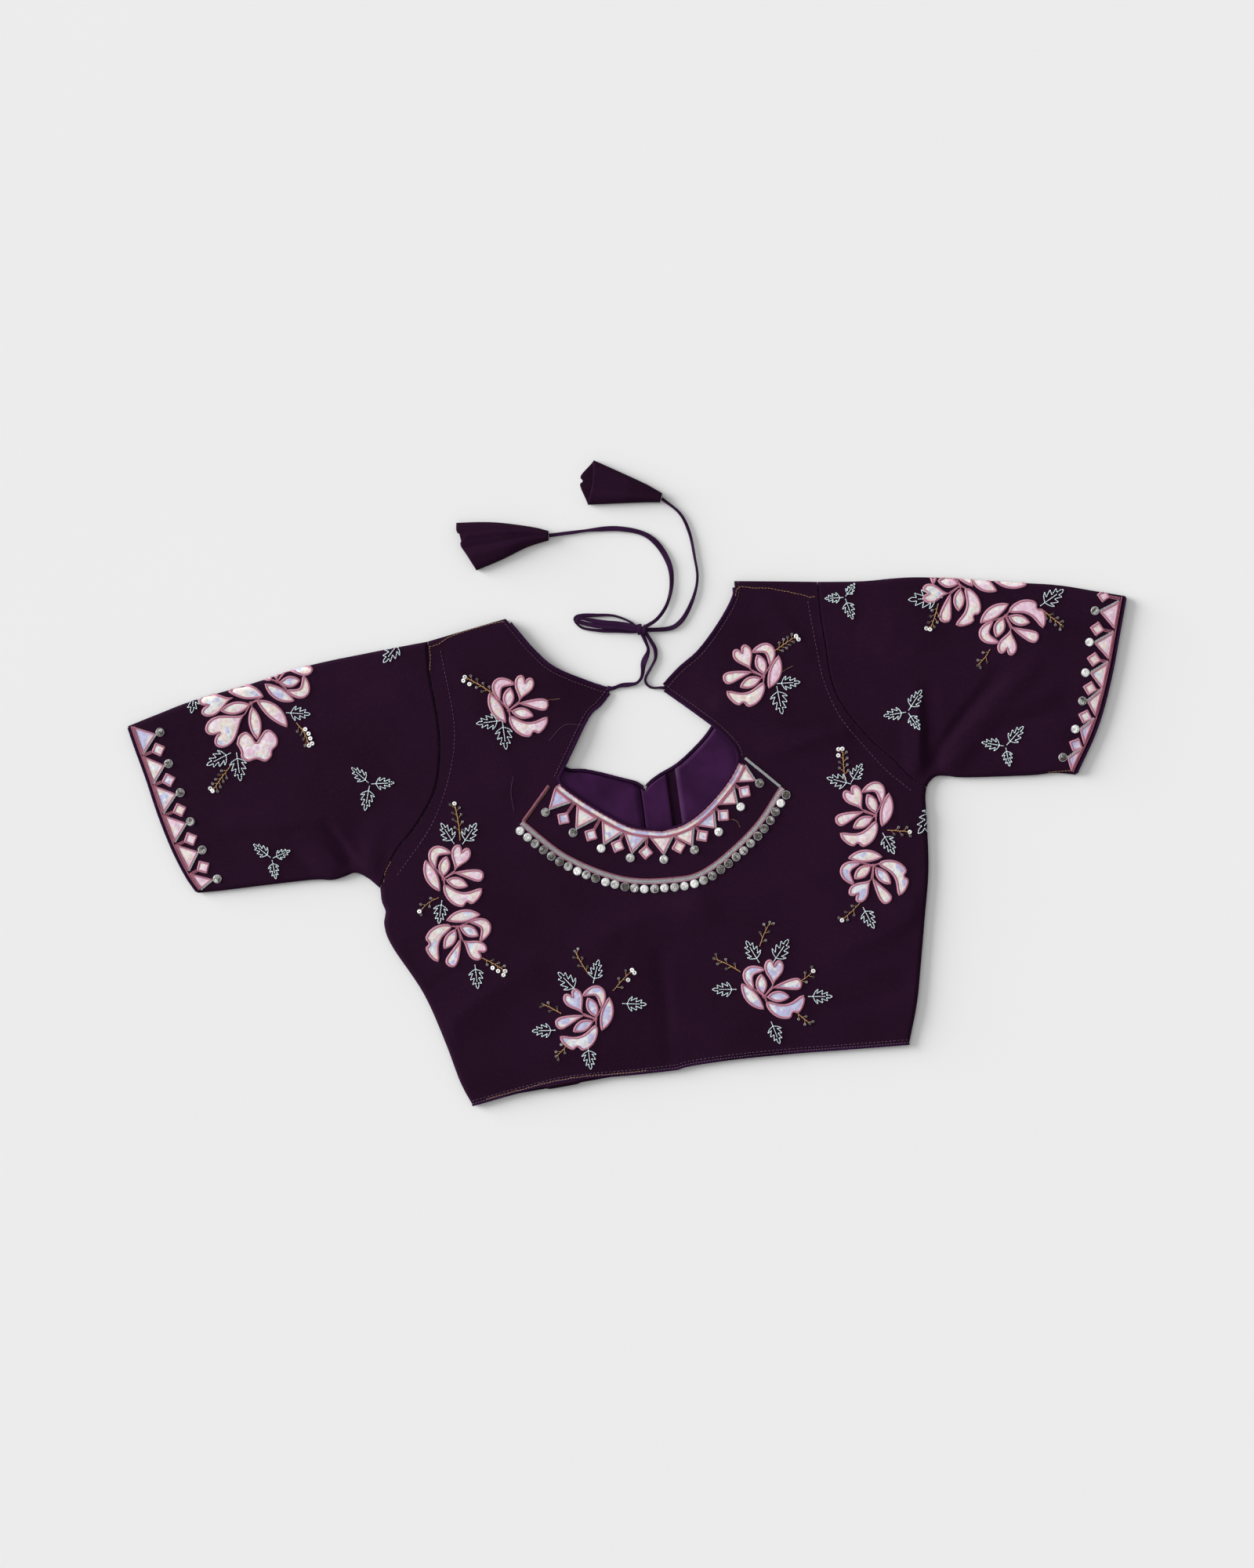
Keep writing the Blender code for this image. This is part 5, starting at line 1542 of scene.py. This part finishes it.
FULL_ROSE = [
    {"kind": "oval", "base": (10.1, 5.5), "tip": (-18.3, 9.6), "bend": -2.0, "width": 12.0},
    {"kind": "heart", "base": (-14.5, 4.5), "tip": (-41.5, -3.5), "bend": 0, "width": 19.0},
    {"kind": "heart", "base": (-5.0, -9.0), "tip": (-32.5, -29.0), "bend": 0, "width": 26.0},
    {"kind": "fan", "base": (4.4, -32), "points": FAN_EDGE},
    {"kind": "oval", "base": (5.0, 2.0), "tip": (29.6, -19.4), "bend": 2.2, "width": 11.6},
    {"kind": "oval", "base": (-1.0, -1.0), "tip": (-24.6, -6.0), "bend": 0.4, "width": 10.0},
    {"kind": "oval", "base": (1.0, -3.0), "tip": (5.4, -29.5), "bend": 0.3, "width": 10.0},
]
FOLD_PETALS = table(
    "kind base tip bend width",
    ("oval", (-14.0, 5.6), (8.6, -9.6), -1.6, 11.0), ("oval", (3.0, 3.6), (33.0, -4.6), -1.4, 11.0))

# Where each flower's centre lies (mm), how it is turned (degrees) and its tint
ROSE_PLACES = table(
    "name at turn mirrored tint",
    ("left_shoulder", (-101.2, 118.2), 4, False, 0.78),
    ("right_shoulder", (108.6, 116.5), 8, True, 0.66),
    ("left_side_upper", (-173.0, -10.7), 0, False, 0.74),
    ("left_side_lower", (-167.2, -51.2), -105, False, 0.42),
    ("right_side_upper", (183.4, -8.4), 13, True, 0.72),
    ("right_side_lower", (175.9, -48.8), 117, True, 0.3),
    ("lower_right", (72.9, -142.2), 16, False, 0.04), ("lower_left", (-66.0, -141.4), 12, True, 0.06),
    ("left_sleeve_fold", (-284.9, 167.9), -95, True, 0.2),
    ("right_sleeve", (311.1, 137.8), 149, True, 0.8),
    ("right_sleeve_fold", (278.0, 167.7), 70, True, 0.56))


FULL_ROSE_AT, FULL_ROSE_TINT = (-308.9, 153.2), 0.52
FOLD_PETALS_AT, FOLD_TINTS = (300.0, 170.0), (0.7, 0.95)
TINT_SPREAD = 0.19
JOIN_REACH = 13.0


def placed(points, at, turn=0.0, mirrored=False):
    """Points of a design, as the photograph is turned, laid at a place on the blouse."""
    p = np.array(points, float)
    if mirrored:
        p[:, 0] *= -1
    angle = math.radians(turn) - TILT
    c, s = math.cos(angle), math.sin(angle)
    return np.stack([p[:, 0] * c - p[:, 1] * s, p[:, 0] * s + p[:, 1] * c], axis=1) + np.array(at)


def petal_outline(row):
    if row["kind"] == "fan":
        return through(row["points"] + row["points"][:1], 5)[:-1]
    if row["kind"] == "heart":
        return heart(row["base"], row["tip"], row["width"])
    return spine_petal(row["kind"], row["base"], row["tip"], row["bend"], row["width"])


def sew_flower(patches, design, at, turn, mirrored, tint):
    """Sews a flower's petals, and joins their bases to its centre with pink thread."""
    for row in design:
        petal_tint = tint + dice.uniform(-TINT_SPREAD, TINT_SPREAD)
        patches.sew(placed(petal_outline(row), at, turn, mirrored), petal_tint)
        start = placed([row["base"], (0, 0)], at, turn, mirrored)
        if length_of(start) < JOIN_REACH:
            border_pink.chain(start, 1.3, 0.35)
            pink.along(start + np.array([0.5, 0.4]), 1.3, 0.4)
    centre = placed(through([(-1.2, 0), (0, 1.3), (1.2, 0), (0, -1.3), (-1.2, 0)], 5), at)
    border_pink.chain(centre, 1.0, 0.5)


# %% Sew the flowers
flowers = Patches("petals")
for flower in ROSE_PLACES:
    sew_flower(flowers, ROSE, flower["at"], flower["turn"], flower["mirrored"], flower["tint"])
sew_flower(flowers, FULL_ROSE, FULL_ROSE_AT, 0, False, FULL_ROSE_TINT)
for row in FOLD_PETALS:
    flowers.sew(placed(petal_outline(row), FOLD_PETALS_AT), dice.uniform(*FOLD_TINTS))
flowers.finish()

# %% [markdown]
# ## Leaves, sprigs and their sequins
# The leaves are outlined in a grey-blue thread: each side is a run of slanting lobes, and a
# midrib runs up from the stem. The sprigs are ochre thread with a ring sequin sewn at the end of each
# twig. A ring sequin is a thin dished disc with a hole, made by turning a small profile.

# %% Ring sequins
RING_PROFILE = [(0.27, 0.00), (0.33, 0.13), (0.62, 0.07), (0.93, 0.14), (1.00, 0.04), (0.90, -0.06),
                (0.32, -0.06)]
RING_SIDES = 11


def turned(profile, sides):
    """A closed profile of (radius, height) turned round the upright axis."""
    turn = np.linspace(0, 2 * math.pi, sides, endpoint=False)
    points = np.array([(r * math.cos(a), r * math.sin(a), z) for r, z in profile for a in turn])
    faces = grid_faces(len(profile), sides, closed=True)
    return points, faces + last_to_first(len(profile), sides, sides)


class Sequins:
    """Collects sequins of one shape, and makes them one mesh at the end."""

    def __init__(self, name, shape, material):
        self.name, self.shape, self.material = name, shape, material
        self.rows = []

    def add(self, at, radius, tint, lift=0.45, lean=0.12):
        self.rows.append((at[0], at[1], radius, tint, lift, *dice.normal(0, lean, 2)))

    def finish(self):
        rows = np.array(self.rows)
        places, normals, off = drop(rows[:, :2])
        rows, places, normals = rows[~off], places[~off], normals[~off]
        normals = unit(normals + np.stack([rows[:, 5], rows[:, 6], np.zeros(len(rows))], axis=1))
        ahead = unit(np.cross(np.tile([0.0, 1.0, 0.0], (len(rows), 1)), normals))
        frames = np.stack([ahead, np.cross(normals, ahead), normals], axis=1)
        item = stamp(self.name, self.shape, places + rows[:, 4:5] * normals, frames,
                     np.repeat(rows[:, 2:3], 3, axis=1), rows[:, 3], self.material)
        print(seat(item, "cloth").name, len(rows), "sequins")


rings = Sequins("ring_sequins", turned(RING_PROFILE, RING_SIDES), SEQUIN)

# %% Leaves
LEAF_LOBES, LEAF_LINK, LEAF_FOOT = 4, 1.4, 0.2
TOOTH_OUT, TOOTH_IN = 0.36, 0.55
LEAVES = table(
    "stem tip",
    ((72.9, -114.4), (64.6, -95.1)), ((83.7, -115.9), (99.0, -98.7)), ((51.5, -133.3), (31.8, -130.6)),
    ((108.4, -147.1), (128.0, -149.9)), ((75.7, -163.2), (80.2, -182.0)),
    ((-77.4, -117.2), (-91.0, -99.1)), ((-63.8, -112.0), (-56.7, -93.6)),
    ((-42.6, -131.7), (-23.1, -135.1)), ((-99.5, -145.7), (-118.6, -143.7)),
    ((-75.3, -162.0), (-75.5, -181.4)), ((-160.2, 16.0), (-168.6, 34.6)),
    ((-153.8, 15.1), (-140.0, 30.6)), ((-176.6, -27.6), (-181.9, -46.3)),
    ((-157.3, -83.3), (-157.6, -103.3)), ((167.4, 19.7), (148.4, 27.5)),
    ((167.5, 21.0), (178.6, 34.9)), ((187.2, -23.2), (194.3, -41.6)), ((162.9, -81.1), (169.4, -99.5)),
    ((-107.4, 110.7), (-128.7, 111.1)), ((-107.5, 110.0), (-107.6, 86.8)),
    ((118.6, 109.3), (137.7, 107.9)), ((118.3, 107.4), (119.5, 83.9)),
    ((-281.5, 141.6), (-262.0, 137.6)), ((-330.4, 115.5), (-351.5, 108.1)),
    ((-326.0, 114.9), (-326.0, 91.6)), ((262.7, 160.1), (234.6, 162.1)),
    ((340.3, 142.1), (361.2, 152.7)), ((-181.0, 186.0), (-197.0, 171.0)),
    ((-352.0, 172.0), (-358.0, 152.0)), ((236.0, -8.0), (216.0, -28.0)))


def leaf(stem, tip, width=0.46):
    """Sews one leaf: lobes up both sides that lean forward, and a midrib."""
    a, b = np.array(stem, float), np.array(tip, float)
    ahead = b - a
    left = np.array([-ahead[1], ahead[0]])

    def spot(t, s):
        return a + t * ahead + s * left * width / 2

    def half(t):
        return min(1.0, max(0.0, (t - 0.08) / 0.3)) ** 0.6 * min(1.0, (1 - t) / 0.6) ** 0.9

    leaf_green.along([spot(0, 0), spot(0.72, 0)], LEAF_LINK, 0.35)
    for side in (-1, 1):
        start = LEAF_FOOT
        inner = spot(start, 0)
        for k in range(LEAF_LOBES):
            end = LEAF_FOOT + (1 - LEAF_FOOT) * (k + 1) / LEAF_LOBES
            reach = half(end - 0.04) + TOOTH_OUT
            outer = spot(end + 0.01, side * reach) if k < LEAF_LOBES - 1 else spot(1.0, 0)
            belly = spot((start + end) / 2, side * (half((start + end) / 2) + 0.06))
            leaf_green.along(through([inner, belly, outer], 6), LEAF_LINK, 0.4)
            inner = spot(end - 0.04, side * max(0.12, half(end) * TOOTH_IN))
            if k < LEAF_LOBES - 1:
                leaf_green.along([outer, inner], LEAF_LINK, 0.4)
            start = end


for row in LEAVES:
    leaf(**row)

# %% Sprigs of thread and sequins
TWIG, TWIG_LEAN, TWIG_SHARE = 4.1, 0.85, 1.25
TWIG_FROM, TWIG_SPAN = 0.18, 0.72
BRIGHT_RING, DULL_RING = 1.8, 1.15
SPRIGS = table(
    "stem tip twigs bright",
    ((74.8, -101.1), (85.7, -83.2), 5, 0), ((56.6, -119.8), (37.2, -106.1), 5, 0),
    ((101.7, -134.6), (115.0, -127.4), 4, 1), ((97.1, -158.5), (106.6, -168.9), 4, 0),
    ((-66.6, -104.5), (-74.8, -84.6), 5, 0), ((-48.8, -120.5), (-31.3, -106.2), 5, 3),
    ((-93.2, -133.0), (-106.7, -123.4), 4, 0), ((-90.1, -156.7), (-101.8, -166.7), 4, 0),
    ((-155.3, 18.5), (-155.6, 48.3), 7, 1), ((-178.9, -25.3), (-195.6, -34.0), 4, 1),
    ((-150.9, -79.0), (-134.0, -91.8), 6, 4), ((162.7, 23.6), (164.3, 48.6), 7, 3),
    ((191.3, -21.8), (208.8, -25.5), 5, 1), ((160.8, -77.6), (145.0, -89.0), 5, 1),
    ((-110.3, 131.8), (-132.3, 149.7), 7, 3), ((119.0, 135.1), (139.1, 145.2), 8, 2),
    ((-274.4, 132.2), (-266.8, 113.0), 7, 5), ((-332.5, 104.8), (-349.2, 87.1), 8, 2),
    ((258.2, 155.6), (249.0, 136.2), 6, 2), ((341.8, 138.7), (355.8, 123.8), 6, 0),
    ((294.9, 112.9), (283.6, 101.6), 4, 0))


def sprig(stem, tip, twigs, bright):
    """A thread stem with twigs in turn to the left and right, and a ring at each end."""
    a, b, left = straight(stem, tip)
    line = through([a, (a + b) / 2 + dice.normal(0, 0.7, 2), b], 8)
    ochre.along(line, 1.7, 0.3, tilt=0.12)
    ochre.along(line + np.array([0.25, 0.2]), 1.9, 0.35)
    ahead = unit(b - a)
    twigs = round(TWIG_SHARE * twigs)
    shining = [0, *range(twigs - 1, 0, -2)][:bright]
    ends = [b + 0.6 * ahead]
    for k in range(twigs - 1):
        root = at_shares(line, [TWIG_FROM + TWIG_SPAN * k / (twigs - 2)])[0]
        lean = TWIG_LEAN * (1 if k % 2 else -1)
        reach = TWIG * dice.uniform(0.75, 1.1)
        end = root + reach * (math.cos(lean) * ahead + math.sin(lean) * left)
        ochre.along([root, end], 1.6, 0.3, tilt=0.1)
        ends.append(end + 0.5 * unit(end - root))
    for k, end in enumerate(ends):
        # Painted glint: the shining rings get a bright tint, the others a dark one.
        level = dice.uniform(0.9, 1.0) if k in shining else dice.uniform(0.0, 0.22)
        rings.add(end, BRIGHT_RING if k in shining else DULL_RING, level)


for row in SPRIGS:
    sprig(**row)

# %% [markdown]
# ## Three-leaf motifs
# Small motifs of three leaves are scattered between the flowers. They are sewn as the others are.

# %% Sew the three-leaf motifs
THREE_LEAVES = table(
    "at tips",
    ((-221.8, 74.4), [(-15.0, 13.4), (20.0, 1.0), (-4.0, -21.7)]),
    ((-309.5, 25.3), [(-15.0, 11.7), (15.0, 6.7), (3.3, -16.7)]),
    ((183.5, 171.3), [(-16.4, -1.0), (8.2, 11.4), (6.5, -18.0)]),
    ((221.2, 71.6), [(-19.6, -3.3), (11.4, 18.0), (9.8, -14.7)]),
    ((296.5, 32.6), [(-19.6, 3.3), (14.7, 16.3), (3.3, -16.4)]))
THREE_WIDTH, STEM_SHARE = 0.42, 0.06
for row in THREE_LEAVES:
    for tip in row["tips"]:
        leaf(*placed([np.array(tip) * STEM_SHARE, tip], row["at"]), THREE_WIDTH)

# %% [markdown]
# ## The borders
# The neck and the cuffs have one border design: a row of satin triangles that point away from the
# edge, with a coin at each point, and a satin diamond hanging from a thread bar between each two.
# A coin is a round of couched thread over a dull disc, with four little ring sequins on it. Below
# the neck a curved band of chain rows carries a whole row of coins.

# %% Coins, triangles and diamonds
COIN_PROFILE = [(0.02, -0.02), (0.02, 0.05), (0.45, 0.07), (0.84, 0.10), (1.00, 0.05), (0.92, -0.05)]
COIN_RADIUS = 3.3
BORDER_BAND = 1.5
DIAMOND_SIDE = 8.6

coins = Sequins("coin_discs", turned(COIN_PROFILE, 18), SEQUIN)
borders = Patches("border")


def circle(at, radius, count=18):
    turn = np.linspace(0, 2 * math.pi, count + 1)
    return np.array(at) + radius * np.stack([np.cos(turn), np.sin(turn)], axis=1)


def coin(at, shine):
    """A coin of one brightness. Some of its ring sequins catch the light more than others."""
    # The coin's tint, and its ring sequins' tints round it, are painted glint.
    coins.add(at, COIN_RADIUS, 0.04 + 0.9 * shine, 0.35, 0.1)
    grey.along(circle(at, COIN_RADIUS + 0.1), 1.25, 0.5, width=0.65)
    turn = dice.uniform(0, 2 * math.pi)
    for k in range(4):
        angle = turn + k * math.pi / 2 + dice.normal(0, 0.12)
        spot = np.array(at) + 1.7 * np.array([math.cos(angle), math.sin(angle)])
        rings.add(spot, 1.35, np.clip(shine + dice.uniform(-0.35, 0.35), 0, 1), 0.75, 0.1)


def triangle(base_a, base_b, tip, tint, heavy):
    """A satin triangle. heavy says which end of its base has the thick grey edge to the tip."""
    outline = np.array([base_a, base_b, tip], float)
    soft = np.vstack([at_shares(outline[[k, (k + 1) % 3]], [0.04, 0.35, 0.65, 0.96]) for k in range(3)])
    borders.sew(soft, tint, band=BORDER_BAND)
    border_pink.chain([base_a, base_b], 1.3, 0.7)
    edge_line = np.array([base_b if heavy else base_a, tip], float)
    out = to_left(edge_line)[0]
    if np.dot(out, outline.mean(0) - edge_line[0]) > 0:
        out = -out
    for off in (0.2, 0.9):
        grey.along(edge_line + off * out, 1.5, 0.5, spacing=0.8, tilt=0.45)


def diamond(at, toward, tint, side=DIAMOND_SIDE):
    """A satin square with a corner turned to a point, and a thread bar that runs to it."""
    middle = np.array(at, float)
    ahead = unit(np.array(toward, float) - middle)
    left = np.array([-ahead[1], ahead[0]])
    half = side / math.sqrt(2)
    corners = middle + half * np.array([ahead, left, -ahead, -left])
    ring = np.vstack([at_shares(corners[[k, (k + 1) % 4]], [0.06, 0.5, 0.94]) for k in range(4)])
    borders.sew(ring, tint, band=1.7)
    for off in (-0.9, 0.0, 0.9):
        bar = np.array([corners[0] - 0.4 * ahead, np.array(toward, float)]) + off * left
        border_pink.along(bar, 1.3, 0.5, spacing=0.85, tilt=0.2)


def nearest_on(line, point):
    dense = every(line, 0.5)
    return dense[np.argmin(np.linalg.norm(dense - np.array(point), axis=1))]


def border_row(base, triangles, diamonds, half, reach, heavy):
    """Sews the triangles, each over its own stretch of the base line, then the diamonds."""
    dense = every(base, 0.5)
    for row in triangles:
        at = int(np.argmin(np.linalg.norm(dense - np.array(row["at"]), axis=1)))
        span = round(half / 0.5)
        base_a, base_b = dense[max(0, at - span)], dense[min(len(dense) - 1, at + span)]
        point = np.array(row["coin"], float)
        tip = point + (COIN_RADIUS + reach) * unit((base_a + base_b) / 2 - point)
        triangle(base_a, base_b, tip, row["tint"], heavy)
        coin(row["coin"], row["shine"])
    for row in diamonds:
        diamond(row["at"], nearest_on(base, row["at"]), row["tint"], row.get("side", DIAMOND_SIDE))


# %% The neck's border
STRIP_START, STRIP_END = 0.5, 4.4
NECK_TRIANGLES = table(
    "at coin tint shine",
    ((-72.8, 39.9), (-83.0, 31.6), 0.02, 0.15), ((-53.9, 22.4), (-63.1, 12.0), 0.82, 0.2),
    ((-33.1, 9.7), (-42.1, -3.9), 0.22, 0.9), ((-15.3, -1.8), (-19.7, -14.8), 0.18, 0.55),
    ((6.6, -6.8), (7.3, -19.9), 0.42, 0.6), ((26.5, -3.2), (33.1, -15.7), 0.36, 0.25),
    ((45.5, 7.8), (54.8, -3.9), 0.2, 0.85), ((65.2, 23.7), (75.4, 13.9), 0.4, 0.95),
    ((82.3, 40.1), (93.3, 30.8), 0.12, 0.1))
NECK_DIAMONDS = table(
    "at tint",
    ((-69.1, 24.5), 0.02), ((-48.8, 8.1), 0.22), ((-28.5, -3.8), 0.22), ((-6.4, -12.1), 0.24),
    ((20.8, -11.4), 0.34), ((41.1, -5.2), 0.4), ((60.5, 8.9), 0.18), ((80.3, 25.5), 0.26))
BAND_LINE = [(-102.4, 27.2), (-70.2, -5.7), (-28.8, -29.0), (9.0, -35.6), (39.9, -32.2), (81.8, -5.1),
             (110.1, 25.8)]
BAND_ROWS = [
    {"off": 0.0, "thread": border_pink, "width": 0.7}, {"off": 1.3, "thread": grey, "width": 0.9},
    {"off": 2.5, "thread": grey, "width": 0.9}, {"off": 3.6, "thread": pink, "width": 0.75}]
BAND_COINS, COIN_LINE = 33, 7.7


def make_neck_border():
    scoop = np.vstack([edge("scoop_left")[::-1], edge("scoop_right")[1:]])
    whole = length_of(scoop)
    scoop = at_shares(scoop, np.linspace(5.0 / whole, 1 - 5.0 / whole, 160))
    near, far = beside(scoop, -STRIP_START), beside(scoop, -STRIP_END)
    ragged = near + 0.35 * np.sin(np.arange(len(near)) * 0.61)[:, None] * to_left(near)
    strip = np.vstack([every(ragged, 1.5), every(far, 1.5)[::-1]])
    borders.sew(strip, 0.14, band=0.6)
    base = beside(scoop, -STRIP_END - 0.6)
    border_pink.chain(base, 1.35, 0.7)
    pink.along(beside(scoop, -STRIP_START - 0.2), 1.6, 0.5, tilt=0.5)
    border_row(beside(scoop, -STRIP_END - 1.0), NECK_TRIANGLES, NECK_DIAMONDS, 9.6, 0.6, True)


def make_neck_band():
    line = through(BAND_LINE, 24)
    for row in BAND_ROWS:
        row["thread"].chain(beside(line, -row["off"]), 1.4, 0.5, row["width"])
    for spot in at_shares(beside(line, -COIN_LINE), np.linspace(0.012, 0.988, BAND_COINS)):
        coin(spot + dice.normal(0, 0.15, 2), dice.choice([0.05, 0.2, 0.35, 0.7, 1.0]))
    left = np.array([(-77.6, 53.0), (-102.4, 27.2)])
    border_pink.chain(left, 1.3, 0.6, 1.0)
    seam_tan.along(left + np.array([1.3, -1.0]), 2.2, 0.4)
    right = np.array([(84.9, 53.0), (110.1, 25.8)])
    for off in (0.0, 0.8):
        grey.chain(right + off * np.array([-0.75, -0.7]), 1.4, 0.6, 0.9)


make_neck_border()
make_neck_band()

# %% The cuffs' borders
LEFT_CUFF = {
    "margin": 2.8, "half": 12.2,
    "triangles": table(
        "at coin tint shine",
        ((-399.0, 137.4), (-385.7, 140.1), 0.03, 0.1), ((-394.8, 112.3), (-382.3, 113.8), 0.34, 0.3),
        ((-390.0, 87.0), (-376.1, 89.0), 0.45, 0.2), ((-383.8, 62.3), (-371.2, 64.4), 0.84, 0.35),
        ((-376.8, 38.0), (-364.9, 40.2), 0.92, 0.2), ((-369.3, 13.7), (-356.1, 15.1), 1.0, 0.3)),
    "diamonds": table(
        "at tint",
        ((-389.0, 126.3), 0.1), ((-384.2, 100.5), 0.36), ((-378.7, 75.1), 0.44),
        ((-373.1, 50.4), 0.86), ((-366.2, 26.2), 0.95))}
RIGHT_CUFF = {
    "margin": 3.6, "half": 11.4,
    "triangles": table(
        "at coin tint shine",
        ((397.1, 127.7), (384.2, 132.1), 1.0, 0.25), ((388.6, 103.7), (376.2, 107.3), 0.84, 0.95),
        ((382.6, 79.3), (369.5, 83.1), 0.46, 0.9), ((376.3, 57.6), (363.8, 60.6), 0.38, 0.2),
        ((367.2, 34.3), (354.9, 38.6), 0.14, 0.9), ((353.1, 12.3), (341.5, 17.2), 0.02, 0.15)),
    "diamonds": table(
        "at tint side",
        ((392.8, 143.1), 1.0, 7.6), ((384.0, 117.2), 0.8), ((378.0, 92.9), 0.62),
        ((371.5, 69.9), 0.55), ((364.5, 47.6), 0.4), ((353.7, 25.8), 0.04))}


def make_cuff_border(side, plan, sign, heavy):
    line = edge(f"cuff_{side}")
    whole = length_of(line)
    line = at_shares(line, np.linspace(1.2 / whole, 1 - 1.2 / whole, 120))
    border_pink.chain(beside(line, sign * (plan["margin"] - 0.2)), 1.3, 0.5)
    border_row(beside(line, sign * (plan["margin"] + 1.0)), plan["triangles"], plan["diamonds"],
               plan["half"], 0.5, heavy)


make_cuff_border("left", LEFT_CUFF, 1, True)
make_cuff_border("right", RIGHT_CUFF, -1, False)
borders.finish()

# %% [markdown]
# ## Seams, tacking and stray threads
# Fine purple topstitching runs inside the armholes, the neck and the hem. Long tan tacking
# stitches were left in at the shoulders, at one underarm and along the hem, and a few loose ends
# of thread lie near the flowers.

# %% Lines of seam stitches
TOPSTITCH = [
    [(-149.5, 174.8), (-148.1, 102.2), (-171.8, 41.5), (-210.2, -2.8)],
    [(153.0, 172.9), (154.9, 130.3), (157.3, 104.5), (166.0, 75.5), (181.9, 49.3), (196.9, 27.4),
     (215.7, 7.1)],
]
TACKING = [
    [(-158.3, 178.9), (-151.2, 179.4), (-139.8, 184.4), (-123.0, 187.6), (-104.8, 190.2),
     (-95.4, 190.6)],
    [(-158.1, 178.6), (-158.5, 170.2), (-160.4, 159.0)],
    [(95.3, 184.5), (98.4, 191.6), (110.8, 189.4), (123.7, 187.2), (136.3, 182.9), (151.2, 177.5),
     (153.4, 175.5), (160.0, 175.5)],
    [(-208.6, 16.3), (-219.4, 1.3), (-221.6, -6.8)],
    [(327.8, 6.9), (346.8, 5.4)],
]
LOOSE_THREADS = [
    [(123.8, 117.9), (129.0, 120.3), (133.9, 121.8)],
    [(66.4, 4.8), (70.6, 2.8), (72.5, -2.5)],
    [(-79.5, 118.0), (-70.0, 121.6), (-58.5, 121.8)],
]
FAINT_THREADS = [
    [(-72.4, 88.9), (-57.9, 99.8), (-42.1, 97.6)],
    [(-104.9, 64.4), (-108.6, 52.0), (-108.3, 35.8)],
]
HEM_TACK = (0.14, 0.93)


def wobbling(line, size):
    dense = every(line, 3.0)
    return dense + dice.normal(0, size, dense.shape)


for line in TOPSTITCH:
    seam_purple.along(through(line, 16), 2.3, 0.1, spacing=1.5)
for side, sign in (("left", 1), ("right", -1)):
    for name in ("strap", "tip"):
        seam_purple.along(beside(edge(f"{name}_{side}"), sign * 3.0), 2.0, 0.1, spacing=1.4)
    seam_purple.along(beside(edge(f"hem_{side}"), -sign * 3.4), 2.2, 0.1, spacing=1.5)
    seam_purple.along(beside(edge(f"hem_{side}"), -sign * 1.2), 1.5, 0.4, spacing=1.5, width=0.75)
for line in TACKING:
    seam_tan.along(wobbling(through(line, 10), 0.12), 2.4, 0.15, spacing=1.12, tilt=0.1)
hem_line = beside(edge("hem_left"), -1.8)
hem_line = at_shares(hem_line, np.linspace(*HEM_TACK, 60))
seam_tan.along(wobbling(hem_line, 0.3), 2.2, 0.2, spacing=1.15, tilt=0.15)
for line in LOOSE_THREADS:
    seam_tan.along(through(line, 8), 1.3, 0.2, spacing=0.8, width=0.26)
for line in FAINT_THREADS:
    seam_purple.along(through(line, 8), 1.3, 0.2, spacing=0.8, width=0.26)


# %% Make the stitches' meshes
for sewn in (pink, rose, leaf_green, ochre, grey, border_pink, seam_purple, seam_tan, rings, coins):
    sewn.finish()

# %% [markdown]
# ## The cut of each sheet
# These are the sizes that each piece of cloth was cut to. The panels lie flat, so the cut of what
# shows is the size of the piece itself, and a sleeve is a tube, so its cut goes all round. Each row
# gives the piece, its flat size, its area and the pieces that it lies on, and the sizes are printed.

# %% Print each cut
CUTS = table(
    "item flat area on",
    (back_cloth, (0.454, 0.394), 0.126, [*linings, hook_band]),
    (fronts[0], (0.227, 0.390), 0.0607, []),
    (fronts[1], (0.227, 0.394), 0.0636, []),
    (linings[0], (0.215, 0.380), 0.0561, [fronts[0]]),
    (linings[1], (0.195, 0.385), 0.0539, [fronts[1]]),
    (hook_band, (0.022, 0.237), None, fronts),
    (sleeves["left"], (0.388, 0.252), 0.0764, []),
    (sleeves["right"], (0.370, 0.249), 0.0693, []))
for row in CUTS:
    print(row["item"].name, "cut", row["flat"], "m")
